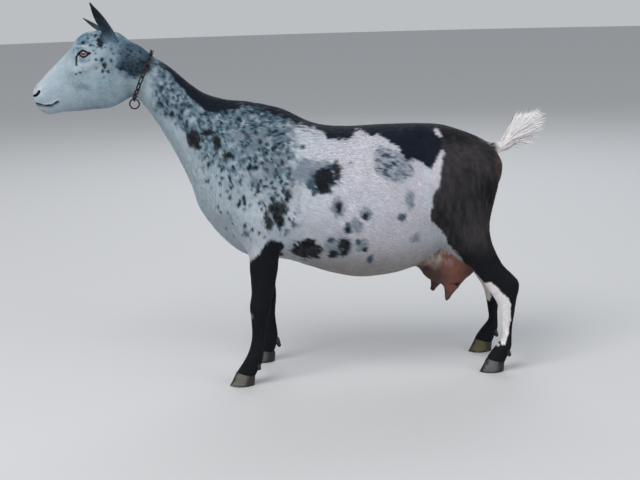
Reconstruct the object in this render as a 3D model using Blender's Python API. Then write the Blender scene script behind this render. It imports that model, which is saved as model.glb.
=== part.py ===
"""A Nigerian Dwarf goat: a milking doe that stands with her head up and wears a chain collar.

Metres, +Z up. She faces -X, her left side is at -Y, and her soles stand on z = 0.
"""

import math
import random

import bpy
import bmesh
import numpy as np
from mathutils import Matrix, Vector
from mathutils.bvhtree import BVHTree

GAP = 0.0003
LEFT = -1
RIGHT = 1

# Voxel sizes and triangle budgets of the remeshed flesh
BODY_VOXEL = 0.0035
HEAD_VOXEL = 0.0018
UDDER_VOXEL = 0.0030
BODY_TRIANGLES = 4700
HEAD_TRIANGLES = 2750
UDDER_TRIANGLES = 460

# Each station is a ring between a top and a bottom point on the middle plane:
# top x, top z, bottom x, bottom z, half width, height of the widest place, top power, bottom power
TRUNK = (
    (-0.330, 0.655, -0.318, 0.562, 0.034, 0.50, 2.0, 2.0),
    (-0.286, 0.650, -0.301, 0.554, 0.037, 0.50, 2.0, 2.0),
    (-0.260, 0.628, -0.289, 0.546, 0.040, 0.50, 2.0, 2.0),
    (-0.227, 0.605, -0.264, 0.512, 0.0445, 0.48, 1.9, 2.0),
    (-0.195, 0.576, -0.242, 0.474, 0.051, 0.46, 1.8, 2.0),
    (-0.166, 0.555, -0.216, 0.422, 0.061, 0.44, 1.7, 2.0),
    (-0.129, 0.542, -0.197, 0.375, 0.072, 0.42, 1.6, 2.0),
    (-0.091, 0.537, -0.185, 0.334, 0.081, 0.42, 1.6, 2.0),
    (-0.071, 0.533, -0.146, 0.278, 0.086, 0.42, 1.6, 2.1),
    (-0.045, 0.527, -0.096, 0.239, 0.090, 0.42, 1.7, 2.1),
    (-0.016, 0.518, -0.025, 0.228, 0.098, 0.43, 1.8, 2.1),
    (0.025, 0.496, 0.024, 0.211, 0.110, 0.44, 1.9, 2.1),
    (0.059, 0.485, 0.062, 0.198, 0.119, 0.44, 2.0, 2.1),
    (0.109, 0.481, 0.112, 0.187, 0.126, 0.43, 2.0, 2.1),
    (0.155, 0.482, 0.160, 0.188, 0.124, 0.43, 2.0, 2.1),
    (0.200, 0.482, 0.205, 0.195, 0.114, 0.44, 2.0, 2.1),
    (0.245, 0.481, 0.252, 0.212, 0.100, 0.48, 2.0, 2.0),
    (0.286, 0.477, 0.306, 0.250, 0.088, 0.52, 2.1, 2.0),
    (0.320, 0.466, 0.352, 0.300, 0.077, 0.54, 2.1, 2.0),
    (0.350, 0.454, 0.382, 0.335, 0.063, 0.54, 2.1, 2.0),
    (0.375, 0.440, 0.399, 0.360, 0.046, 0.54, 2.1, 2.0),
    (0.391, 0.425, 0.405, 0.380, 0.028, 0.50, 2.0, 2.0),
)
HEAD = (
    (-0.4825, 0.5705, -0.4835, 0.5570, 0.0090, 0.50, 2.0, 2.0),
    (-0.4795, 0.5760, -0.4805, 0.5470, 0.0165, 0.55, 2.0, 2.2),
    (-0.4731, 0.5834, -0.4755, 0.5370, 0.0215, 0.58, 2.0, 2.2),
    (-0.4640, 0.5920, -0.4655, 0.5280, 0.0240, 0.58, 2.0, 2.2),
    (-0.4553, 0.6013, -0.4551, 0.5243, 0.0248, 0.56, 1.9, 2.2),
    (-0.4357, 0.6200, -0.4290, 0.5278, 0.0262, 0.58, 1.9, 2.1),
    (-0.4160, 0.6378, -0.4010, 0.5286, 0.0320, 0.64, 2.0, 2.0),
    (-0.4063, 0.6487, -0.3880, 0.5294, 0.0372, 0.70, 2.2, 1.9),
    (-0.3965, 0.6630, -0.3740, 0.5304, 0.0425, 0.74, 2.4, 1.8),
    (-0.3827, 0.6725, -0.3600, 0.5308, 0.0455, 0.74, 2.4, 1.8),
    (-0.3660, 0.6762, -0.3440, 0.5322, 0.0455, 0.70, 2.3, 1.8),
    (-0.3494, 0.6760, -0.3290, 0.5372, 0.0440, 0.62, 2.2, 1.9),
    (-0.3330, 0.6745, -0.3150, 0.5445, 0.0415, 0.56, 2.1, 2.0),
    (-0.3180, 0.6710, -0.3045, 0.5500, 0.0390, 0.52, 2.0, 2.0),
    (-0.3060, 0.6620, -0.2990, 0.5570, 0.0350, 0.50, 2.0, 2.0),
    (-0.2900, 0.6480, -0.2900, 0.5700, 0.0270, 0.50, 2.0, 2.0),
)
# Each leg station is a ring between a front and a rear point:
# front x, front z, rear x, rear z, half width, distance from the middle plane
FORE_LEG = (
    (-0.125, 0.365, -0.030, 0.372, 0.028, 0.058),
    (-0.128, 0.330, -0.026, 0.335, 0.031, 0.062),
    (-0.118, 0.295, -0.025, 0.300, 0.031, 0.065),
    (-0.104, 0.268, -0.030, 0.274, 0.028, 0.068),
    (-0.0968, 0.245, -0.0385, 0.249, 0.0255, 0.0705),
    (-0.0968, 0.222, -0.0415, 0.226, 0.0230, 0.0725),
    (-0.0962, 0.200, -0.0457, 0.202, 0.0207, 0.0735),
    (-0.0952, 0.179, -0.0505, 0.180, 0.0188, 0.0745),
    (-0.0985, 0.162, -0.0560, 0.163, 0.0186, 0.0750),
    (-0.0999, 0.148, -0.0572, 0.148, 0.0190, 0.0750),
    (-0.0985, 0.134, -0.0605, 0.133, 0.0176, 0.0750),
    (-0.0980, 0.120, -0.0648, 0.119, 0.0146, 0.0750),
    (-0.0978, 0.100, -0.0703, 0.099, 0.0124, 0.0752),
    (-0.1000, 0.082, -0.0728, 0.080, 0.0126, 0.0755),
    (-0.1040, 0.069, -0.0746, 0.065, 0.0146, 0.0757),
    (-0.1085, 0.0575, -0.0763, 0.052, 0.0168, 0.0760),
    (-0.1150, 0.0470, -0.0793, 0.041, 0.0168, 0.0762),
    (-0.1215, 0.0375, -0.0848, 0.0315, 0.0165, 0.0765),
    (-0.1285, 0.0280, -0.0912, 0.0205, 0.0172, 0.0767),
    (-0.1330, 0.0200, -0.0935, 0.0130, 0.0165, 0.0768),
)
HIND_LEG = (
    (0.262, 0.400, 0.384, 0.405, 0.034, 0.048),
    (0.255, 0.355, 0.388, 0.368, 0.039, 0.052),
    (0.251, 0.315, 0.379, 0.336, 0.041, 0.056),
    (0.257, 0.280, 0.370, 0.305, 0.038, 0.060),
    (0.275, 0.254, 0.366, 0.283, 0.032, 0.065),
    (0.300, 0.234, 0.369, 0.260, 0.0265, 0.069),
    (0.322, 0.213, 0.376, 0.238, 0.0220, 0.072),
    (0.336, 0.194, 0.390, 0.212, 0.0190, 0.074),
    (0.3488, 0.179, 0.4080, 0.192, 0.0175, 0.0750),
    (0.3585, 0.1634, 0.4214, 0.176, 0.0172, 0.0755),
    (0.3682, 0.149, 0.4208, 0.160, 0.0166, 0.0755),
    (0.3768, 0.134, 0.4158, 0.1406, 0.0150, 0.0755),
    (0.3820, 0.113, 0.4126, 0.117, 0.0132, 0.0755),
    (0.3857, 0.085, 0.4078, 0.088, 0.0122, 0.0755),
    (0.3868, 0.065, 0.4060, 0.067, 0.0138, 0.0755),
    (0.3778, 0.0545, 0.4064, 0.054, 0.0160, 0.0755),
    (0.3695, 0.0455, 0.4040, 0.041, 0.0162, 0.0755),
    (0.3625, 0.0365, 0.3985, 0.031, 0.0160, 0.0755),
    (0.3565, 0.0280, 0.3940, 0.0210, 0.0168, 0.0755),
    (0.3525, 0.0200, 0.3915, 0.0130, 0.0160, 0.0755),
)
LEG_POWER = 2.1
# The right feet stand further back than the left ones, by this much at the floor and nothing higher up
RIGHT_FORE_BACK = 0.048
RIGHT_HIND_BACK = 0.007
RIGHT_SWING_TOP = 0.24
RIGHT_HIND_IN = 0.008

# Closed tubes round the legs with domed tops, which mark where the legs part from the trunk
FORE_REGION = (
    (-0.200, -0.040, 0.030, -0.040, 0.036, 0.072),
    (-0.200, 0.050, 0.030, 0.050, 0.036, 0.072),
    (-0.150, 0.150, 0.000, 0.150, 0.038, 0.072),
    (-0.122, 0.230, -0.012, 0.235, 0.042, 0.074),
    (-0.116, 0.262, -0.018, 0.268, 0.040, 0.078),
    (-0.104, 0.286, -0.034, 0.290, 0.030, 0.084),
    (-0.085, 0.296, -0.055, 0.298, 0.015, 0.090),
)
HIND_REGION = (
    (0.300, -0.040, 0.480, -0.040, 0.040, 0.074),
    (0.290, 0.080, 0.480, 0.080, 0.040, 0.074),
    (0.270, 0.170, 0.470, 0.180, 0.042, 0.076),
    (0.243, 0.235, 0.440, 0.260, 0.050, 0.084),
    (0.236, 0.290, 0.420, 0.320, 0.052, 0.088),
    (0.246, 0.345, 0.410, 0.365, 0.048, 0.092),
    (0.270, 0.378, 0.385, 0.390, 0.032, 0.096),
    (0.305, 0.393, 0.350, 0.397, 0.014, 0.100),
)
REGION_POWER = 2.6
# The tail's dock: top x, z, bottom x, z, half width
DOCK = (
    (0.362, 0.440, 0.374, 0.408, 0.0120),
    (0.388, 0.4385, 0.392, 0.416, 0.0110),
    (0.404, 0.4400, 0.410, 0.4185, 0.0095),
    (0.416, 0.4460, 0.426, 0.4270, 0.0085),
    (0.426, 0.4570, 0.440, 0.4400, 0.0070),
    (0.438, 0.4700, 0.452, 0.4560, 0.0050),
    (0.448, 0.4790, 0.456, 0.4700, 0.0025),
)
# The udder's halves, each a leaning ball, and the top and tip of each teat
UDDER_CENTRE = (0.293, -0.029, 0.2140)
UDDER_RADII = (0.060, 0.036, 0.0465)
UDDER_LEAN = -6
TEATS = {
    LEFT: ((0.3000, -0.033, 0.180), (0.2868, -0.037, 0.1405)),
    RIGHT: ((0.2850, 0.031, 0.180), (0.2712, 0.034, 0.1430)),
}
TEAT_TIP_RADIUS = 0.0066
TEAT_ROOT_FLARE = 0.0150

# Muscles, bones and hollows, the same on both sides: the side view's path (x, z), width and rise
TRUNK_FORMS = (
    ("shoulder blade", ((-0.080, 0.490), (-0.122, 0.405)), 0.034, 0.006),
    ("shoulder point", ((-0.150, 0.368), (-0.146, 0.352)), 0.030, 0.006),
    ("upper arm", ((-0.128, 0.340), (-0.060, 0.312)), 0.032, 0.007),
    ("behind the shoulder", ((-0.036, 0.460), (-0.020, 0.340)), 0.020, -0.004),
    ("in front of the shoulder", ((-0.128, 0.500), (-0.172, 0.420)), 0.018, -0.003),
    ("flank hollow", ((0.236, 0.435), (0.232, 0.405)), 0.030, -0.007),
    ("hip", ((0.266, 0.462), (0.262, 0.458)), 0.016, 0.004),
    ("thigh", ((0.335, 0.385), (0.300, 0.300)), 0.042, 0.006),
    ("hollow behind the hip", ((0.318, 0.435), (0.345, 0.425)), 0.020, -0.003),
    ("hock hollow", ((0.364, 0.240), (0.380, 0.212)), 0.011, -0.002),
)
HEAD_FORMS = (
    ("bulge of the eye", ((-0.383, 0.640),), 0.0150, 0.0035),
    ("brow", ((-0.399, 0.646), (-0.386, 0.6535), (-0.368, 0.649)), 0.0060, 0.0024),
    ("hollow below the inner corner", ((-0.406, 0.622),), 0.0095, -0.0030),
    ("cheekbone", ((-0.402, 0.606), (-0.378, 0.612), (-0.348, 0.627)), 0.0080, 0.0022),
    ("temple", ((-0.352, 0.655),), 0.0110, -0.0020),
    ("jaw muscle", ((-0.352, 0.576),), 0.0230, 0.0035),
    ("hollow of the cheek", ((-0.405, 0.572),), 0.0170, -0.0028),
    ("side of the nose", ((-0.440, 0.590),), 0.0120, -0.0016),
    ("upper lip", ((-0.467, 0.557),), 0.0090, 0.0016),
    ("wing of the nostril", ((-0.4735, 0.5695), (-0.4700, 0.5730)), 0.0065, 0.0024),
    ("lower lip", ((-0.470, 0.538), (-0.456, 0.536)), 0.0060, 0.0012),
    (
        "mouth",
        ((-0.4790, 0.5487), (-0.4700, 0.5455), (-0.4612, 0.5430), (-0.4483, 0.5434), (-0.4368, 0.5500)),
        0.0024,
        -0.0042,
    ),
)
# Where the voxel forms are evened out: x, distance from the middle plane, z, radius, times
BODY_BLENDS = (
    (-0.080, 0.085, 0.320, 0.095, 26),
    (0.290, 0.075, 0.320, 0.120, 30),
    (0.370, 0.040, 0.370, 0.070, 20),
)
HEAD_BLENDS = ((-0.303, 0.037, 0.605, 0.060, 40),)
MOUTH_FRONT_HEIGHT = 0.5500
# The nostril is a slit that curves up and back: the side view's points, half width and depth
NOSTRIL = ((-0.4800, 0.5612), (-0.4762, 0.5622), (-0.4722, 0.5655), (-0.4696, 0.5695))
NOSTRIL_HALF_WIDTH = 0.0017
NOSTRIL_DEPTH = 0.0055

# The point of the rump beside the tail, as x, distance from the middle plane and z
PIN_BONE = (0.390, 0.034, 0.400)
PIN_BONE_WIDTH = 0.016
PIN_BONE_RISE = 0.004

# Planes across the body, each through a top and a bottom point of the side view
HEAD_CLIP = ((-0.235, 0.640), (-0.262, 0.520))
HEAD_CUT = ((-0.2850, 0.6480), (-0.3020, 0.5480))
NECK_CUT = ((-0.1500, 0.5600), (-0.2020, 0.3600))

EYE_RADIUS = 0.0112
EYE_AT = (-0.3833, 0.6372)
EYE_AXIS = (-0.30, -0.95, 0.06)
EYE_COVER = 0.0008
LID_OPENING = (0.0172, 0.0112)

EAR_ROOT = (-0.3250, -0.0215, 0.6560)
EAR_TIP = (-0.3645, -0.0600, 0.7290)
FAR_EAR_TIP = (-0.3880, 0.0600, 0.6980)
EAR_OPENS = (-0.80, -0.75, 0.0)
FAR_EAR_OPENS = (-0.57, 0.05, -0.82)
EAR_WIDTH = 0.031
EAR_BOW = 0.002
EAR_THICKNESS = 0.0022

# Front and rear points of the coronet, where the horn begins
FORE_CORONET = ((-0.1290, 0.0275), (-0.0915, 0.0190))
HIND_CORONET = ((0.3560, 0.0270), (0.3935, 0.0185))
TOE_AHEAD = 0.0140
HEEL_AHEAD = 0.0040
HOOF_WIDTH = 0.0180
CLAW_GAP = 0.0016
# From the rear point of the coronet: behind, away from the middle of the foot, and up
DEWCLAW_AT = (0.0030, 0.0080, 0.0212)
DEWCLAW_REACH = (0.0040, 0.0022, -0.0095)
DEWCLAW_RADII = (0.0062, 0.0034)
DEWCLAW_SINK = 0.008

COLLAR_CLEAR = 0.0012
COLLAR_NAPE = (-0.2620, 0.0, 0.6290)
COLLAR_THROAT = (-0.2955, 0.0, 0.5520)
LINK_COUNT = 22
LINK_WIRE = 0.0028
LINK_WIDTH = 0.0096
LINK_PLAY = 0.0007
RING_RADIUS = 0.0090
RING_LEAN = math.radians(28)

BRUSH_LOCKS = 24
BRUSH_ROWS = 4
BRUSH_LENGTH = 0.061
BRUSH_MIDDLE_LONGER = 0.016
LOCK_WIDTH = 0.0130
LOCK_THICKNESS = 0.0042
FAN_START = math.radians(58)
# The brush spreads from this steepest lean over the dock to this flattest one, and to either side
FAN_STEEP = math.radians(64)
FAN_FLAT = math.radians(9)
FAN_SIDEWAYS = 0.34

COAT = (0.78, 0.78, 0.80)
DARK = (0.045, 0.040, 0.042)
ROAN = (0.42, 0.44, 0.47)


def clear_scene():
    for obj in list(bpy.data.objects):
        bpy.data.objects.remove(obj)


def material(name, colour, roughness, metallic=0.0):
    made = bpy.data.materials.new(name)
    made.use_nodes = True
    shader = made.node_tree.nodes["Principled BSDF"]
    shader.inputs["Base Color"].default_value = (*colour, 1.0)
    shader.inputs["Roughness"].default_value = roughness
    shader.inputs["Metallic"].default_value = metallic
    made.diffuse_color = (*colour, 1.0)
    return made


def mesh_object(name, points, faces):
    mesh = bpy.data.meshes.new(name)
    mesh.from_pydata([tuple(p) for p in points], [], faces)
    mesh.update()
    obj = bpy.data.objects.new(name, mesh)
    bpy.context.scene.collection.objects.link(obj)
    return obj


def object_of(name, bm):
    """The object of a finished bmesh, which this frees."""
    mesh = bpy.data.meshes.new(name)
    bm.to_mesh(mesh)
    bm.free()
    obj = bpy.data.objects.new(name, mesh)
    bpy.context.scene.collection.objects.link(obj)
    return obj


def apply_modifiers(obj):
    """Puts the evaluated shape in place of the mesh and its modifiers."""
    graph = bpy.context.evaluated_depsgraph_get()
    mesh = bpy.data.meshes.new_from_object(obj.evaluated_get(graph))
    old = obj.data
    obj.modifiers.clear()
    obj.data = mesh
    bpy.data.meshes.remove(old)
    return obj


def remove(*objects):
    for obj in objects:
        bpy.data.objects.remove(obj)


def joined(name, objects):
    """One object that holds the meshes of several."""
    bm = bmesh.new()
    for obj in objects:
        mesh = obj.data.copy()
        mesh.transform(obj.matrix_world)
        bm.from_mesh(mesh)
        bpy.data.meshes.remove(mesh)
    remove(*objects)
    return object_of(name, bm)


def points_of(obj):
    flat = np.empty(len(obj.data.vertices) * 3)
    obj.data.vertices.foreach_get("co", flat)
    return flat.reshape(-1, 3)


def normals_of(obj):
    flat = np.empty(len(obj.data.vertices) * 3)
    obj.data.vertices.foreach_get("normal", flat)
    return flat.reshape(-1, 3)


def set_points(obj, points):
    obj.data.vertices.foreach_set("co", np.asarray(points, float).ravel())
    obj.data.update()


def tree_of(obj):
    return BVHTree.FromObject(obj, bpy.context.evaluated_depsgraph_get())


def smooth_rows(rows, count):
    """Catmull-Rom curve through the rows, read at even steps of its length along the first four columns."""
    rows = np.asarray(rows, float)
    ends = np.vstack([2 * rows[0] - rows[1], rows, 2 * rows[-1] - rows[-2]])
    fine = []
    steps = np.linspace(0, 1, 12, endpoint=False)[:, None]
    for a, b, c, d in zip(ends, ends[1:], ends[2:], ends[3:]):
        curve = (c - a) * steps + (2 * a - 5 * b + 4 * c - d) * steps**2 + (3 * b - a - 3 * c + d) * steps**3
        fine.append(b + 0.5 * curve)
    fine = np.vstack([*fine, rows[-1:]])
    middle = (fine[:, 0:2] + fine[:, 2:4]) / 2
    along = np.concatenate([[0], np.cumsum(np.linalg.norm(np.diff(middle, axis=0), axis=1) + 1e-9)])
    wanted = np.linspace(0, along[-1], count)
    return np.column_stack([np.interp(wanted, along, column) for column in fine.T])


def ring_faces(rings, sides):
    """Quads between rings of equal size, with a face on each end."""
    faces = []
    for i in range(rings - 1):
        for j in range(sides):
            k = (j + 1) % sides
            faces.append((i * sides + j, i * sides + k, (i + 1) * sides + k, (i + 1) * sides + j))
    faces.append(tuple(reversed(range(sides))))
    faces.append(tuple((rings - 1) * sides + j for j in range(sides)))
    return faces


def outward(obj):
    bm = bmesh.new()
    bm.from_mesh(obj.data)
    bmesh.ops.recalc_face_normals(bm, faces=bm.faces)
    if bm.calc_volume(signed=True) < 0:
        bmesh.ops.reverse_faces(bm, faces=bm.faces)
    bm.to_mesh(obj.data)
    bm.free()
    return obj


def loft(name, rows, rings, sides):
    """A closed form through rings, each of which spans two points and a half width to either side."""
    points = []
    angles = np.linspace(0, 2 * math.pi, sides, endpoint=False)
    for ax, az, bx, bz, half, widest, power_a, power_b, middle in smooth_rows(rows, rings):
        power = np.where(np.cos(angles) >= 0, power_a, power_b)
        reach = np.where(np.cos(angles) >= 0, 1 - widest, widest)
        height = widest + np.sign(np.cos(angles)) * reach * np.abs(np.cos(angles)) ** (2 / power)
        side = np.sign(np.sin(angles)) * np.abs(np.sin(angles)) ** (2 / power)
        points.append(np.column_stack([bx + (ax - bx) * height, middle + half * side, bz + (az - bz) * height]))
    return outward(mesh_object(name, np.vstack(points), ring_faces(rings, sides)))


def swing(z, far):
    """How far back the right leg lies at this height."""
    return far * max(0.0, 1 - z / RIGHT_SWING_TOP)


def leg_rows(stations, side, back, inward):
    rows = []
    for ax, az, bx, bz, half, out in stations:
        if side == RIGHT:
            ax += swing(az, back)
            bx += swing(bz, back)
            out -= swing((az + bz) / 2, inward)
        rows.append((ax, az, bx, bz, half, 0.5, LEG_POWER, LEG_POWER, side * out))
    return rows


def ellipsoid(name, centre, radii, lean=0.0, side=LEFT):
    """A ball stretched along the axes and leaned in the side view."""
    bm = bmesh.new()
    bmesh.ops.create_icosphere(bm, subdivisions=3, radius=1.0)
    turn = Matrix.Rotation(math.radians(lean), 4, "Y")
    place = Matrix.Translation((centre[0], -side * centre[1], centre[2]))
    bmesh.ops.transform(bm, matrix=place @ turn @ Matrix.Diagonal((*radii, 1.0)), verts=bm.verts)
    return object_of(name, bm)


def remeshed(obj, voxel, smoothing):
    cover = obj.modifiers.new("cover", "REMESH")
    cover.mode = "VOXEL"
    cover.voxel_size = voxel
    soften = obj.modifiers.new("soften", "SMOOTH")
    soften.factor = 0.5
    soften.iterations = smoothing
    return apply_modifiers(obj)


def soften(obj, centre, radius, times):
    """Evens the surface out round a point, fading with distance."""
    distance = np.linalg.norm(points_of(obj) - np.asarray(centre), axis=1)
    group = obj.vertex_groups.new(name="soften")
    weights = np.clip(2 - 2 * distance / radius, 0, 1)
    for index in np.flatnonzero(weights > 0.0):
        group.add([int(index)], float(weights[index]), "REPLACE")
    even = obj.modifiers.new("even", "SMOOTH")
    even.factor = 0.5
    even.iterations = times
    even.vertex_group = group.name
    apply_modifiers(obj)
    obj.vertex_groups.clear()


def thinned(obj, triangles):
    """Triangulates, and collapses edges down to about this many triangles."""
    obj.data.calc_loop_triangles()
    fewer = obj.modifiers.new("fewer", "DECIMATE")
    fewer.ratio = triangles / len(obj.data.loop_triangles)
    fewer.use_collapse_triangulate = True
    return apply_modifiers(obj)


def distance_to_path(points, path):
    best = np.linalg.norm(points - np.asarray(path[0], float), axis=1)
    for a, b in zip(path, path[1:]):
        a, b = np.asarray(a, float), np.asarray(b, float)
        t = np.clip((points - a) @ (b - a) / ((b - a) @ (b - a)), 0, 1)
        best = np.minimum(best, np.linalg.norm(points - (a + t[:, None] * (b - a)), axis=1))
    return best


def raise_along(obj, path, width, rise):
    """Raises the surface along a path, or sinks it where the rise is negative."""
    points = points_of(obj)
    fall = np.exp(-((distance_to_path(points, path) / width) ** 2))
    set_points(obj, points + normals_of(obj) * (rise * fall)[:, None])


def sculpt(obj, blends, forms):
    """Evens the joints of the forms out, then raises or sinks each named form on both sides."""
    for x, out, z, radius, times in blends:
        for side in (LEFT, RIGHT):
            soften(obj, (x, side * out, z), radius, times)
    tree = tree_of(obj)
    for _, path, width, rise in forms:
        for side in (LEFT, RIGHT):
            raise_along(obj, [on_side(tree, x, z, side) for x, z in path], width, rise)


def on_side(tree, x, z, side=LEFT):
    """The point of the surface that the side view shows at this place."""
    hit = tree.ray_cast(Vector((x, side * 0.4, z)), Vector((0, -side, 0)))
    return hit[0]


def boolean(obj, other, operation, solver="EXACT"):
    cut = obj.modifiers.new(operation.lower(), "BOOLEAN")
    cut.operation = operation
    cut.object = other
    cut.solver = solver
    return apply_modifiers(obj)


def copy_of(obj, name):
    copy = bpy.data.objects.new(name, obj.data.copy())
    bpy.context.scene.collection.objects.link(copy)
    return copy


def grown(obj, by):
    """A copy whose surface stands this much further out."""
    copy = copy_of(obj, obj.name + " grown")
    set_points(copy, points_of(copy) + normals_of(copy) * by)
    return copy


def largest_body(obj):
    """Keeps the largest closed surface only, counted by the faces that share edges."""
    bm = bmesh.new()
    bm.from_mesh(obj.data)
    unseen = set(bm.faces)
    bodies = []
    while unseen:
        start = unseen.pop()
        body, border = [start], [start]
        while border:
            for edge in border.pop().edges:
                for face in edge.link_faces:
                    if face in unseen:
                        unseen.remove(face)
                        body.append(face)
                        border.append(face)
        bodies.append(body)
    bodies.sort(key=box_size)
    for body in bodies[:-1]:
        bmesh.ops.delete(bm, geom=body, context="FACES")
    bm.to_mesh(obj.data)
    bm.free()
    return obj


def box_size(faces):
    corners = np.array([v.co for face in faces for v in face.verts])
    return float(np.prod(corners.max(axis=0) - corners.min(axis=0) + 1e-6))


def box_between(name, low, high, turn=0.0, about=(0, 0, 0)):
    """A box with these corners, turned in the side view about a point."""
    bm = bmesh.new()
    bmesh.ops.create_cube(bm, size=1.0)
    size = Vector(high) - Vector(low)
    place = Matrix.Translation((Vector(low) + Vector(high)) / 2) @ Matrix.Diagonal((*size, 1.0))
    spin = Matrix.Translation(about) @ Matrix.Rotation(turn, 4, "Y") @ Matrix.Translation(-Vector(about))
    bmesh.ops.transform(bm, matrix=spin @ place, verts=bm.verts)
    return object_of(name, bm)


def front_of(name, top, bottom, shift=0.0):
    """A large box in front of the plane through two points of the middle plane, seen from the side."""
    along = Vector((top[0] - bottom[0], 0, top[1] - bottom[1]))
    turn = math.atan2(along.x, along.z)
    base = Vector((bottom[0], 0, bottom[1]))
    return box_between(name, base + Vector((-1, -0.5, -1)), base + Vector((shift, 0.5, 1)), turn, base)


def parted(whole, name, region, region_grown):
    """Takes the part of the whole that lies in a region, and leaves the rest clear of it."""
    piece = copy_of(whole, name)
    boolean(piece, region, "INTERSECT", "MANIFOLD")
    boolean(whole, region_grown, "DIFFERENCE", "MANIFOLD")
    remove(region, region_grown)
    return largest_body(piece)


def trunk_form(rings=64, sides=40):
    return loft("trunk", [(*row, 0.0) for row in TRUNK], rings, sides)


def head_form(rings=40, sides=36):
    return loft("skull", [(*row, 0.0) for row in HEAD], rings, sides)


def leg_forms():
    forms = []
    for side in (LEFT, RIGHT):
        fore = leg_rows(FORE_LEG, side, RIGHT_FORE_BACK, 0.0)
        hind = leg_rows(HIND_LEG, side, RIGHT_HIND_BACK, RIGHT_HIND_IN)
        forms.append(loft("fore", fore, 44, 20))
        forms.append(loft("hind", hind, 48, 20))
    return forms


def body_flesh():
    """Neck, trunk and legs as one surface."""
    body = joined("body", [trunk_form(), *leg_forms()])
    remeshed(body, BODY_VOXEL, 4)
    sculpt(body, BODY_BLENDS, TRUNK_FORMS)
    for side in (LEFT, RIGHT):
        raise_along(body, [(PIN_BONE[0], side * PIN_BONE[1], PIN_BONE[2])], PIN_BONE_WIDTH, PIN_BONE_RISE)
    return thinned(body, BODY_TRIANGLES)


def head_flesh():
    """The head with the front of the neck, its cheeks, brows, nostrils and mouth."""
    head = joined("head", [head_form(), trunk_form()])
    clip = front_of("clip", *HEAD_CLIP)
    boolean(head, clip, "INTERSECT", "MANIFOLD")
    remove(clip)
    remeshed(head, HEAD_VOXEL, 3)
    sculpt(head, HEAD_BLENDS, HEAD_FORMS)
    tree = tree_of(head)
    corners = [on_side(tree, *HEAD_FORMS[-1][1][0], side) for side in (LEFT, RIGHT)]
    lip = tree.ray_cast(Vector((-1, 0, MOUTH_FRONT_HEIGHT)), Vector((1, 0, 0)))[0]
    raise_along(head, [corners[0], lip, corners[1]], *HEAD_FORMS[-1][2:])
    thinned(head, HEAD_TRIANGLES)
    for side in (LEFT, RIGHT):
        cut_nostril(head, side)
    return head


def cut_nostril(head, side):
    """A curved slit that goes in towards the middle and back."""
    tree = tree_of(head)
    rings = []
    inward = Vector((0.55, -side * 0.80, 0.10)).normalized()
    for i, (x, z) in enumerate(NOSTRIL):
        spot = on_side(tree, x, z, side)
        before = Vector(NOSTRIL[max(i - 1, 0)])
        after = Vector(NOSTRIL[min(i + 1, len(NOSTRIL) - 1)])
        along = (after - before).normalized()
        across = Vector((-along.y, 0, along.x))
        half = NOSTRIL_HALF_WIDTH * (1.0 if 0 < i < len(NOSTRIL) - 1 else 0.45)
        low, high = spot - inward * NOSTRIL_DEPTH, spot + inward * NOSTRIL_DEPTH
        rings += [low - across * half, low + across * half]
        rings += [high + across * half / 2, high - across * half / 2]
    slit = outward(mesh_object("slit", rings, ring_faces(len(NOSTRIL), 4)))
    boolean(head, slit, "DIFFERENCE")
    remove(slit)


def eye_frame(head, side):
    """The centre of the eyeball and the way it looks, set under the head's surface."""
    spot = on_side(tree_of(head), EYE_AT[0], EYE_AT[1], side)
    axis = Vector((EYE_AXIS[0], -side * EYE_AXIS[1], EYE_AXIS[2])).normalized()
    return spot - axis * (EYE_RADIUS + EYE_COVER), axis


def ball(name, centre, radius, detail):
    bm = bmesh.new()
    bmesh.ops.create_icosphere(bm, subdivisions=detail, radius=radius, matrix=Matrix.Translation(centre))
    return object_of(name, bm)


def lid_cutter(centre, axis, points=14):
    """An almond prism that opens the lids."""
    depth = 0.03
    forward = Vector((-1, 0, 0)) - axis * Vector((-1, 0, 0)).dot(axis)
    forward.normalize()
    up = axis.cross(forward)
    if up.z < 0:
        up.negate()
    long, high = LID_OPENING[0] / 2, LID_OPENING[1] / 2
    ring = []
    for i in range(points):
        angle = 2 * math.pi * i / points
        across = math.cos(angle)
        ring.append(forward * long * across + up * high * math.sin(angle) * (1 - 0.35 * across**2))
    rings = [[centre + axis * step + p for p in ring] for step in (EYE_RADIUS * 0.4, depth)]
    return outward(mesh_object("lids", rings[0] + rings[1], ring_faces(2, points)))


def make_eyes(head):
    eyes = []
    for side, name in ((LEFT, "eye_left"), (RIGHT, "eye_right")):
        centre, axis = eye_frame(head, side)
        socket = ball("socket", centre, EYE_RADIUS + GAP, 3)
        opening = lid_cutter(centre, axis)
        eyes.append((name, centre, socket, opening))
    made = []
    for name, centre, socket, opening in eyes:
        boolean(head, socket, "DIFFERENCE")
        boolean(head, opening, "DIFFERENCE")
        remove(socket, opening)
        made.append(ball(name, centre, EYE_RADIUS, 3))
    largest_body(head)
    return made


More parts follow.
